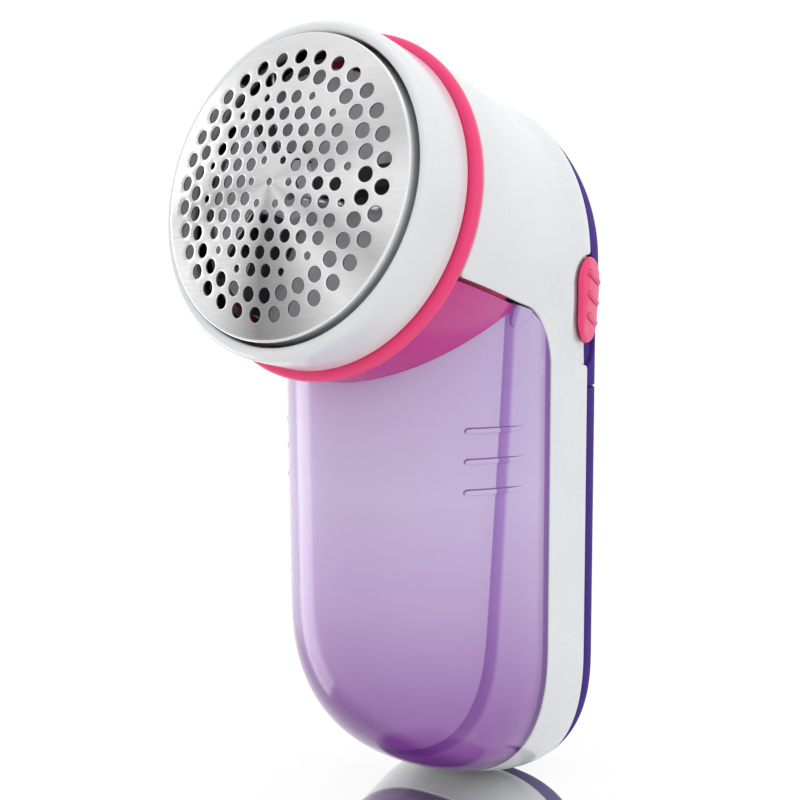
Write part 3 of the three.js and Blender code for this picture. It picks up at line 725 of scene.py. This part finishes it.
def metal(name, colour, rough, stretch=(1, 1, 1), scale=900.0, strength=0.3, depth=2 * GRAIN_DEPTH):
    """Worked metal: directional marks, tone drift and polish drift."""
    material, tree, shader = new_material(name)
    shader.inputs["Metallic"].default_value = 1.0
    tree.feed(tree.around(tree.noise(90.0, 3.0), colour, 0.96, 1.03), shader.inputs["Base Color"])
    marks = tree.noise(scale, 3.0, stretch)
    tree.feed(tree.around(marks, rough, 0.85, 1.15), shader.inputs["Roughness"])
    tree.bump(shader, marks, strength, depth)
    return material


def frosted(name, axis, low, high, stops, transmission, rough=0.22, rim=None, inner=None, corner=None):
    """Frosted tinted plastic: a tone ramp along one axis, which can also carry painted shade. The stops of a
    rim paint shade that deepens towards the casing's seam, those of an inner line paint the shadowed edge of
    the inner wall as if seen through the side, and those of a corner paint shade into one lower corner."""
    material, tree, shader = new_material(name)
    seam, seam_shade_length = (CONTAINER_SEAM_Y + FOIL[1]) / 1000, 0.0045
    inner_shade_start, corner_shade_start, length = 0.031, -0.078, 0.01
    tone = tree.ramp(tree.axis_share(axis, low, high), stops)
    # rim, inner and corner each multiply in painted shade: towards the casing's seam, along the inner wall's
    # shadowed edge seen through the side, and in one lower corner
    if rim:
        tone = tree.mix(tone, tree.ramp(tree.axis_share("Y", seam - seam_shade_length, seam), rim))
    if inner:
        tone = tree.mix(tone, tree.ramp(tree.share_along((0.0, 1.0, -0.05), inner_shade_start, length), inner))
    if corner:
        tone = tree.mix(tone, tree.ramp(tree.share_along((0.6, 0.0, 0.8), corner_shade_start, length), corner))
    tone = tree.mix(tone, tree.around(tree.noise(45.0, 3.0), 1.0, 0.97, 1.0))
    tree.feed(tone, shader.inputs["Base Color"])
    tree.feed(tree.around(tree.noise(200.0, 4.0), rough, 0.9, 1.1), shader.inputs["Roughness"])
    tree.bump(shader, tree.noise(1500.0, 2.0), 0.08, GRAIN_DEPTH)
    shader.inputs["Transmission Weight"].default_value = transmission
    shader.inputs["IOR"].default_value = 1.3
    shader.inputs["Coat Weight"].default_value = 0.3
    shader.inputs["Coat Roughness"].default_value = 0.2
    return material


def spun_steel(name, stops, rough):
    """Steel spun about the head axis: fine turned grooves, and painted reflection in light and dark wedges
    round the centre that stands in for its sheen.
    """
    material, tree, shader = new_material(name)
    where = tree.from_foil()
    x, u = tree.vector_math("DOT_PRODUCT", where, SIDE), tree.vector_math("DOT_PRODUCT", where, UP)
    turns = tree.calculate("MULTIPLY", tree.calculate("ARCTAN2", u, x), 1 / (2 * math.pi))
    # painted reflection: light and dark tones by angle round the centre, fading towards an even grey within
    # 12 mm of it
    painted_sheen = tree.ramp(tree.calculate("FRACT", tree.calculate("ADD", turns, 1.0)), stops)
    square = tree.calculate("ADD", tree.calculate("MULTIPLY", x, x), tree.calculate("MULTIPLY", u, u))
    radius = tree.calculate("MULTIPLY", tree.calculate("SQRT", square), 1000.0)
    nearness = tree.ramp(tree.calculate("DIVIDE", radius, 12.0), [(0.0, 0.35), (1.0, 1.0)])
    middle = tree.mix((0.70, 0.70, 0.71, 1), painted_sheen, nearness, "MIX")
    marks = tree.noise(60.0, 3.0, (3, 3, 90), FOIL_TURN)
    tree.feed(tree.mix(middle, tree.ramp(marks, [(0.3, 0.95), (0.7, 1.03)])), shader.inputs["Base Color"])
    tree.feed(tree.around(marks, rough, 0.88, 1.12), shader.inputs["Roughness"])
    tree.bump(shader, marks, 0.1, GRAIN_DEPTH)
    shader.inputs["Metallic"].default_value = 1.0
    shader.inputs["Anisotropic"].default_value = 0.5
    tree.feed(tree.vector_math("CROSS_PRODUCT", where, AXIS), shader.inputs["Tangent"])
    return material


def cell_material():
    """A battery sleeve: green with a pale collar towards one end."""
    green, pale = (0.05, 0.22, 0.13), (0.6, 0.6, 0.58)
    material, tree, shader = new_material("cell_sleeve")
    along = tree.axis_share("Z", 0.0145, 0.0637)
    tree.feed(tree.ramp(along, [(0.0, green), (0.7, green), (0.71, pale), (1.0, pale)]),
              shader.inputs["Base Color"])
    tree.feed(tree.ramp(tree.noise(300.0), [(0.3, 0.25), (0.7, 0.33)]), shader.inputs["Roughness"])
    shader.inputs["Metallic"].default_value = 0.4
    tree.bump(shader, tree.noise(1500.0), 0.1, 2 * GRAIN_DEPTH)
    return material


WHITE = plastic("white_shell", (0.80, 0.81, 0.82), 0.25, coat=0.3)
PURPLE = plastic("purple_cover", (0.075, 0.036, 0.24), 0.38, ior=1.03)
PINK = plastic("pink_trim", (0.92, 0.06, 0.21), 0.34, level=0.35)
# deeper pink for painted shade round the foot of each switch ridge
PINK_SHADE = plastic("pink_painted_shade_band", (0.45, 0.02, 0.08), 0.5, level=0.2)
# the lilac cup: its ramp along Z is its tint plus painted shade, darker towards the bottom and lighter higher
# up; its rim, inner and corner stops are painted shade
LILAC = frosted(
    "lilac_clear", "Z", 0.0, 0.08,
    [(0.0, (0.50, 0.18, 0.66)), (0.15, (0.46, 0.17, 0.60)), (0.26, (0.53, 0.27, 0.67)),
     (0.5, (0.74, 0.54, 0.88)), (0.74, (0.84, 0.70, 1.0)), (1.0, (0.80, 0.64, 0.97))], 0.33, 0.12,
    rim=[(0.0, 1.0), (0.3, (0.88, 0.78, 0.92)), (0.48, (0.78, 0.62, 0.86)), (0.58, (0.38, 0.15, 0.52)),
         (1.0, (0.26, 0.09, 0.40))],
    inner=[(0.0, 1.0), (0.02, (0.56, 0.38, 0.68)), (0.05, (0.56, 0.38, 0.68)), (0.07, (0.60, 0.39, 0.72)),
           (0.18, (0.66, 0.46, 0.77)), (0.26, (0.97, 0.95, 0.98)), (1.0, 1.0)],
    corner=[(0.0, (0.58, 0.30, 0.66)), (0.4, (0.62, 0.36, 0.70)), (0.8, (0.96, 0.93, 0.97)), (1.0, 1.0)])
LILAC_BACK = frosted(
    "lilac_back", "Z", 0.0, 0.08,
    [(0.0, (0.62, 0.45, 0.74)), (0.5, (0.80, 0.70, 0.93)), (1.0, (0.86, 0.78, 0.96))], 0.15)
MAGENTA = frosted(
    "magenta_clear", "Y", -0.025, 0.01,
    [(0.0, (0.66, 0.03, 0.29)), (0.5, (0.68, 0.05, 0.35)), (0.85, (0.74, 0.12, 0.44)),
     (1.0, (0.76, 0.45, 0.70))], 0.12, rim=[(0.0, 1.0), (1.0, (0.9, 0.8, 0.9))])
# dark lilac for painted shade: the inner wall's edge and the fine lines along the grip ribs
LILAC_SHADE = frosted("lilac_painted_shade", "Z", 0.0, 0.08,
                     [(0.0, (0.20, 0.06, 0.32)), (1.0, (0.30, 0.12, 0.44))], 0.1)
# its stops are painted reflection tones, one for each angle round the foil's centre
FOIL_STEEL = spun_steel("foil_steel", [
    (0.0, 0.88), (0.05, 0.64), (0.09, 0.70), (0.14, 0.84), (0.24, 0.80), (0.38, 0.71), (0.46, 0.76),
    (0.53, 0.47), (0.60, 0.82), (0.67, 0.82), (0.745, 0.30), (0.79, 0.42), (0.86, 0.90), (0.915, 0.55),
    (0.955, 0.82), (1.0, 0.88)], 0.3)
SKIRT_STEEL = metal("skirt_steel", (0.82, 0.82, 0.82), 0.12, scale=500.0, strength=0.05, depth=GRAIN_DEPTH)
BLADE_STEEL = metal("blade_steel", (0.65, 0.65, 0.67), 0.22, (40, 1, 40), 90.0)
DARK = plastic("dark_plastic", (0.022, 0.020, 0.026), 0.5, vary=0.1)
GREY = plastic("plate_grey", (0.72, 0.72, 0.75), 0.4, vary=0.05)
INNER = plastic("inner_white", (0.72, 0.72, 0.71), 0.5)
MOTOR = metal("motor_metal", (0.5, 0.51, 0.53), 0.35, (60, 2, 60), 60.0, 0.2)
ZINC = metal("zinc_metal", (0.55, 0.57, 0.59), 0.35, scale=700.0, strength=0.25)
BRASS = metal("terminal_brass", (0.72, 0.5, 0.22), 0.3, scale=700.0, strength=0.2)
RED_LEAD = plastic("lead_red", (0.5, 0.02, 0.03), 0.5)
BLACK_LEAD = plastic("lead_black", (0.02, 0.02, 0.02), 0.5)

SLOT_MATERIALS = {
    "white_shell": WHITE, "purple_cover": PURPLE, "pink_trim": PINK, "lilac_clear": LILAC,
    "foil_steel": FOIL_STEEL, "blade_steel": BLADE_STEEL, "dark_plastic": DARK, "inner_white": INNER,
    "motor_metal": MOTOR, "zinc_metal": ZINC, "terminal_brass": BRASS, "lead_red": RED_LEAD,
    "lead_black": BLACK_LEAD, "cell_sleeve": cell_material()}


def place(piece, body, material, slot, *replaced):
    """Gives a piece its material, puts it on the body it rides and hides the nodes it stands in for. The slot
    is not used.
    """
    piece.data.materials.clear()
    piece.data.materials.append(material)
    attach(piece, body)
    if replaced:
        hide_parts(*replaced)


def soften(item, width, angle):
    """Rounds the edges sharper than an angle in degrees; the width is in metres."""
    bevel = item.modifiers.new("bevel", "BEVEL")
    bevel.width = width
    bevel.segments = 2
    bevel.limit_method = "ANGLE"
    bevel.angle_limit = math.radians(angle)


# -------- the frame's own nodes
slot_of = {row["node"]: row["material_slot"] for row in frame["record"]["subparts"]}
for node, item in frame["nodes"].items():
    item.data.materials.clear()
    item.data.materials.append(SLOT_MATERIALS[slot_of[node]])
    weld = item.modifiers.new("weld", "WELD")
    weld.merge_threshold = 1e-6
    soften(item, 0.00015, 40)
    for polygon in item.data.polygons:
        polygon.use_smooth = True
    normals = item.modifiers.new("normals", "WEIGHTED_NORMAL")
    normals.keep_sharp = True

# -------- casings
SPINE_LOW_Z, SPINE_TOP_Z = -88.0, -8.0
body = spine_surface(body_level, SPINE_LOW_Z, SPINE_TOP_Z, 0.9, (49.0, 65.0), (-33.0, -7.0))
place(shell_piece("casing_shell", body_level, white_zone, body, CASING_WALL),
      "housing", WHITE, "white_shell", "front_casing")
place(shell_piece("cover_shell", body_level, cover_zone, body, COVER_WALL),
      "housing", PURPLE, "purple_cover", "back_cover")
place(shell_piece("door_shell", body_level, door_zone, body, COVER_WALL),
      "door", PURPLE, "purple_cover", "battery_door")


def bed_zone(side):
    """The floor of the recess, before (-1) or behind (1) the cover's seam."""
    return lambda p: every(0.5 - recess(p), side * (p[:, 1] - cover_seam(p[:, 2])) - HALF_GAP / 2, k=0.2)


for side, word, material, slot in ((-1, "front", WHITE, "white_shell"), (1, "rear", PURPLE, "purple_cover")):
    bed = shell_piece(f"switch_bed_{word}", body_level, bed_zone(side), body, BED_WALL,
                      radius=0.1, lift=-BED_DEPTH)
    place(bed, "housing", material, slot)


def cap_zone(p):
    return -stadium(p, SWITCH_WIDTH / 2, SWITCH_LENGTH, SWITCH_Z)


place(shell_piece("switch_cap", body_level, cap_zone, body, CAP_WALL, radius=0.9, lift=CAP_LIFT, steps=7),
      "switch", PINK, "pink_trim", "switch_button")
RIDGE_Y, RIDGE_Z = SWITCH_Y + 0.35, SWITCH_Z + 0.4       # the middle one
RIDGE_HALF_LENGTH, RIDGE_DROP, BESIDE_SWITCH = 3.6, 1.05, 26.5
for k in (-1, 0, 1):
    t = np.linspace(-1, 1, 16)
    middle_y, middle_z = RIDGE_Y - SWITCH_LEAN * RIDGE_PITCH * k, RIDGE_Z + RIDGE_PITCH * k
    path = [(BESIDE_SWITCH, middle_y + RIDGE_HALF_LENGTH * a, middle_z - RIDGE_DROP * a) for a in t]
    fade = np.sqrt(np.clip(1 - np.abs(t) ** 6, 0.02, 1))
    # each ridge stands on a wider, low band of deeper pink: painted shade at its foot
    for word, width, height, material in (("painted_shade_band", 0.85, 0.12, PINK_SHADE), ("ridge", 0.55, 0.5, PINK)):
        place(strip(f"switch_{word}_{k + 2}", body_level, path, width * fade, height * fade, CAP_LIFT),
              "switch", material, "pink_trim")

# -------- lint container
cup = spine_surface(handle_level, SPINE_LOW_Z, -30.0, 1.1)
place(shell_piece("container_cup", handle_level, cup_zone, cup, CONTAINER_WALL, radius=0.25),
      "container", LILAC, "lilac_clear", "lint_container")


def hood_level(p):
    """Near the underside of the hood, as tube_level is near the tube."""
    return tube_level(p, HOOD_STEP)


def hood_surface():
    """The underside of the hood, a grid on the tube from side to side."""
    across, along = 110, 44
    angles = np.radians(np.linspace(190, 350, across))
    places = np.linspace(TUBE_FRONT_S + 1.2, -54.0, along)
    points = [(TUBE_RADIUS - HOOD_STEP) * (math.cos(a) * SIDE + math.sin(a) * UP) + s * AXIS
              for s in places for a in angles]
    quads = [(i * across + j, (i + 1) * across + j, (i + 1) * across + j + 1, i * across + j + 1)
             for i in range(along - 1) for j in range(across - 1)]
    points, quads = np.array(points), np.array(quads)
    for _ in range(6):
        g = gradient(hood_level, points)
        points = points - g * (hood_level(points) / np.clip((g * g).sum(1), 1e-6, None))[:, None]
    return points, np.vstack([quads[:, [0, 1, 2]], quads[:, [0, 2, 3]]])


place(shell_piece("container_hood", hood_level, hood_zone, hood_surface(), CONTAINER_WALL, radius=0.2),
      "container", MAGENTA, "lilac_clear")


def corner_zone(side):
    """The fillet between hood and cup at one side, where it stands clear of both."""
    off_hood, off_cup, reach = 0.3, 0.03, 2.0
    return lambda p: every(container_zone(p) - HALF_GAP, tube_level(p, HOOD_STEP) - off_hood,
                           handle_level(p) - off_cup, reach - handle_level(p),
                           p[:, 1] - CORNER_FRONT_Y, side * p[:, 0], k=0.2)


for side, word in ((1, "right"), (-1, "left")):
    corner = shell_piece(f"container_corner_{word}", body_level, corner_zone(side), body, CORNER_WALL,
                         radius=0.1)
    place(corner, "container", LILAC, "lilac_clear")


def handle_half_width(y, z, inset):
    """Half the width of the handle, inset from its surface, on the level (y, z); zero outside it."""
    inner, outer = np.zeros(len(z)), np.full(len(z), HALF_WIDTH + 2)
    for _ in range(24):
        middle = (inner + outer) / 2
        within = handle_level(np.column_stack([middle, np.full(len(z), y), z])) < -inset
        inner, outer = np.where(within, middle, inner), np.where(within, outer, middle)
    return inner


def panel(name, front, wall, inset, columns=28):
    """An upright plate that fills the handle's section at one depth, with its rounded lower end."""
    top, back = PANEL_TOP_Z, front + wall
    z = np.linspace(top, BOTTOM_START_Z - BOTTOM_DEPTH - 0.3, 900)
    width = handle_half_width((front + back) / 2, z, inset)
    bottom = z[width > 0.3].min()
    rows = bottom + (top - bottom) * (1 - np.cos(np.linspace(0, 1, 46) * math.pi / 2))
    width = handle_half_width((front + back) / 2, rows, inset)
    width[0] = max(width[0], 1.5)
    share = np.sin(np.linspace(-1, 1, columns + 1) * math.pi / 2)
    points = [(w * a, y, h) for y in (front, back) for h, w in zip(rows, width) for a in share]
    count, across = len(rows) * (columns + 1), columns + 1
    faces, edges = [], []
    for i in range(len(rows) - 1):
        for j in range(columns):
            a, b, c, d = i * across + j, i * across + j + 1, (i + 1) * across + j + 1, (i + 1) * across + j
            faces += [(a, b, c, d), (a + count, d + count, c + count, b + count)]
        edges += [((i + 1) * across, i * across), (i * across + columns, (i + 1) * across + columns)]
    for j in range(columns):
        edges += [(j, j + 1), ((len(rows) - 1) * across + j + 1, (len(rows) - 1) * across + j)]
    faces += [(b, a, a + count, b + count) for a, b in edges]
    made = make_object(name, points, faces, 30)
    soften(made, 0.0002, 50)
    return made


def round_bar(name, path, radius, sides=10):
    """A round bar along a path of points."""
    path = np.array(path, float)
    forward = unit(np.gradient(path, axis=0))
    first = unit(np.cross(forward, np.tile([0.0, 1.0, 0.001], (len(path), 1))))
    second = np.cross(forward, first)
    angles = np.arange(sides) * 2 * math.pi / sides
    points = [path[k] + radius * (math.cos(a) * first[k] + math.sin(a) * second[k])
              for k in range(len(path)) for a in angles]
    return make_object(name, points, bar_faces(len(path), sides), 50)


PANEL_TOP_Z = -33.0
BACK_WALL_Y = 35.9
BAY_Y, BAY_WALL = 40.3, 1.8
place(panel("container_back", BACK_WALL_Y, CONTAINER_WALL, inset=1.9), "container", LILAC_BACK, "lilac_clear")
place(panel("bay_wall", BAY_Y, BAY_WALL, inset=2.6), "housing", INNER, "inner_white")


def edge_path(half_width, low, depth):
    """Down one side of the inner wall from its top, round the bottom and up the other side."""
    y, top = BACK_WALL_Y - 0.2, -31.0
    bend = [(half_width * math.cos(a), y, low - depth * math.sin(a)) for a in np.linspace(0, math.pi, 40)]
    heights = np.linspace(top, low, 16)[:-1]
    down = [(half_width, y, z) for z in heights]
    up = [(-half_width, y, z) for z in heights[::-1]]
    return down + bend + up


# the inner wall's edge as a round bar whose dark colour is painted shade
place(round_bar("container_back_shade_edge", edge_path(20.3, -82.0, 17.5), 1.1),
      "container", LILAC_SHADE, "lilac_clear")

GRIP_HEIGHTS = (-39.3, -44.5, -49.7)
GRIP_FRONT_Y, GRIP_BACK_Y = 23.7, 34.2
HOOK_RADIUS = 0.5               # of the fine line's end, which turns round the front of each rib
BESIDE = 24.0                   # paths start this far out and are then moved onto the surface
LATCH_Y, LATCH_TOP_Z, LATCH_LOW_Z, LATCH_POINTS = 39.7, -27.9, -31.2, 12


def side_strip(name, side, path, width, height, material, lift=0.0):
    """A strip on the container's right (1) or left (-1) side, along a path of (y, z)."""
    points = [(side * BESIDE, y, z) for y, z in path]
    made = strip(name, handle_level, points, width * side, height, lift, (side, 0, 0))
    place(made, "container", material, "lilac_clear")


for side, word in ((1, "right"), (-1, "left")):
    for k, height in enumerate(GRIP_HEIGHTS):
        t = np.linspace(0, 1, 26)
        path = [(GRIP_FRONT_Y + 0.2 + (GRIP_BACK_Y - GRIP_FRONT_Y) * a, height - HOOK_RADIUS) for a in t]
        fade = np.clip(np.minimum(np.sqrt(t * 12), (1 - t) * 3.2), 0.05, 1)
        side_strip(f"grip_{word}_{k + 1}", side, path, 0.48 * np.sqrt(fade), 0.3 * fade, LILAC)
        # the fine line along each rib is raised a little; its dark colour is painted shade
        hook_y, hook_z = GRIP_FRONT_Y + HOOK_RADIUS, height - HOOK_RADIUS
        line = [(hook_y + HOOK_RADIUS * math.cos(a), hook_z + HOOK_RADIUS * math.sin(a))
                for a in np.radians(np.linspace(235, 90, 12))]
        line += [(y, height) for y in np.linspace(GRIP_FRONT_Y + 0.8, GRIP_BACK_Y, 24)]
        reach = np.linspace(0, 1, len(line))
        fade = np.clip(np.minimum(reach * 9, (1 - reach) * 4), 0.25, 1)
        side_strip(f"grip_shade_line_{word}_{k + 1}", side, line, 0.15 * fade, 0.12 * fade, LILAC_SHADE, 0.04)
    latch = [(LATCH_Y, z) for z in np.linspace(LATCH_TOP_Z, LATCH_LOW_Z, LATCH_POINTS)]
    fade = np.sqrt(np.clip(1 - np.linspace(-1, 1, LATCH_POINTS) ** 8, 0.05, 1))
    side_strip(f"container_latch_{word}", side, latch, np.ones(LATCH_POINTS), 0.2 * fade, LILAC)

# -------- head
# each outline is a list of (radius, s), with the radius of each corner's rounding
ring_outline = fillet([(25.55, -2.9), (25.6, -1.75), (26.9, -1.5), (27.75, -2.6), (27.9, -4.4),
                       (27.9, -11.65), (26.35, -11.75), (26.35, -13.35), (25.4, -13.35), (25.4, -10.2),
                       (25.55, -9.9)], [0.4, 0.5, 0.9, 1.0, 1.5, 0.35, 0.2, 0.2, 0.2, 0.2, 0.2], 6)
place(turned("ring_shell", ring_outline), "shaving_head", WHITE, "white_shell", "head_ring")
bead_outline = fillet([(26.8, -13.95), (29.5, -13.95), (29.5, -11.98), (26.8, -11.98)],
                      [0.2, 0.95, 0.95, 0.2], 8)
place(turned("trim_bead", bead_outline), "housing", PINK, "pink_trim", "trim_ring")
place(foil_sheet("foil_dome"), "shaving_head", FOIL_STEEL, "foil_steel", "foil_screen")
plate_outline = fillet([(1.6, -8.6), (21.6, -8.6), (21.6, -7.4), (5.3, -7.4), (5.0, -2.7), (1.6, -2.7)],
                       [0.1, 0.4, 0.4, 0.6, 0.5, 0.2], 4)
place(turned("cutter_plate", plate_outline), "rotor", GREY, "dark_plastic", "cutter_hub")


def cutter_arm(name, turn):
    """One arm of the cutter: a bar from the hub to the plate's rim whose top follows the foil's dome."""
    out = math.cos(turn) * SIDE + math.sin(turn) * UP
    across = -math.sin(turn) * SIDE + math.cos(turn) * UP
    profile = [(-3.4, -7.45), (-3.3, -4.0), (-2.6, -2.4), (0.6, -2.2), (1.1, -2.6), (1.15, -7.45)]
    section = fillet(profile, 0.4, 3)
    points, radii, root_s = [], np.linspace(4.6, 20.9, 12), -7
    for r in radii:
        drop = dome(r) - dome(0.0)
        points += [r * out + a * across + (h + (drop if h > root_s else 0.0)) * AXIS for a, h in section]
    return make_object(name, points, bar_faces(len(radii), len(section)), 40)


for k in range(3):
    place(cutter_arm(f"cutter_arm_{k + 1}", math.radians(8 + 120 * k)), "rotor", DARK, "dark_plastic")
edge = dome(FOIL_RIM)
skirt_outline = fillet([(24.55, edge - 0.4), (24.55, edge), (25.0, edge - 0.12), (25.05, -8.5), (23.9, -8.5),
                        (23.9, -1.6)], [0.02, 0.02, 0.35, 0.2, 0.2, 0.3], 5)
place(turned("foil_skirt", skirt_outline), "shaving_head", SKIRT_STEEL, "foil_steel")

# -------- stage, light and camera
CAMERA_FROM_FOIL = np.array([124.08, -136.582, -19.458])
CAMERA_TURN, CAMERA_DOWN = math.radians(36.32), math.radians(4.5)
scene = bpy.context.scene
camera = bpy.data.objects.new("camera", bpy.data.cameras.new("camera"))
scene.collection.objects.link(camera)
scene.camera = camera
camera.data.sensor_width = 36.0
camera.data.lens = 51.84
camera.data.clip_start = 0.01
camera.location = (FOIL + CAMERA_FROM_FOIL) / 1000
forward = Vector((-math.sin(CAMERA_TURN) * math.cos(CAMERA_DOWN),
                  math.cos(CAMERA_TURN) * math.cos(CAMERA_DOWN), -math.sin(CAMERA_DOWN)))
right = Vector((math.cos(CAMERA_TURN), math.sin(CAMERA_TURN), 0))
above = right.cross(forward)
turn = Matrix((right, above, -forward)).transposed().to_4x4()
camera.matrix_world = Matrix.Translation(camera.location) @ turn

FLOOR_REACH, FLOOR_Z = 4, -0.0008          # metres
floor_mesh = bpy.data.meshes.new("floor")
corners = [(FLOOR_REACH * x, FLOOR_REACH * y, FLOOR_Z) for x, y in ((-1, -1), (1, -1), (1, 1), (-1, 1))]
floor_mesh.from_pydata(corners, [], [(0, 1, 2, 3)])
floor = bpy.data.objects.new("floor", floor_mesh)
scene.collection.objects.link(floor)
floor_material, tree, shader = new_material("floor_white")
shader.inputs["Base Color"].default_value = (0.97, 0.97, 0.97, 1)
shader.inputs["Metallic"].default_value = 0.85
shader.inputs["Roughness"].default_value = 0.04
floor_mesh.materials.append(floor_material)

world = bpy.data.worlds.new("studio")
scene.world = world
tree = Tree(world)
background = tree.nodes["Background"]
aside = tree.vector_math("DOT_PRODUCT", tree.coordinate("Generated"), right)
aside = tree.calculate("MULTIPLY", tree.calculate("ADD", aside, 1.0), 0.5)
sky = tree.ramp(aside, [(0.0, (0.80, 0.80, 0.80)), (0.3, 1.05), (0.7, 1.05), (1.0, (0.98, 1.03, 1.06))])
tree.feed(sky, background.inputs["Color"])
background.inputs["Strength"].default_value = 1.0
scene.view_settings.view_transform = "Standard"


def area_light(name, position, aim, size, power):
    """A rectangular light; places and sizes are in metres, the power in watts."""
    light = bpy.data.objects.new(name, bpy.data.lights.new(name, "AREA"))
    scene.collection.objects.link(light)
    light.data.shape = "RECTANGLE"
    light.data.size, light.data.size_y = size
    light.data.energy = power
    light.location = position
    light.rotation_euler = (Vector(aim) - Vector(position)).to_track_quat("-Z", "Y").to_euler()
    light.visible_camera = False


area_light("strip", (-0.5, -0.06, 0.12), (0, 0, 0.07), (0.2, 0.5), 0.8)
area_light("top", (0.1, -0.1, 0.7), (0, 0, 0.1), (0.5, 0.5), 0.25)
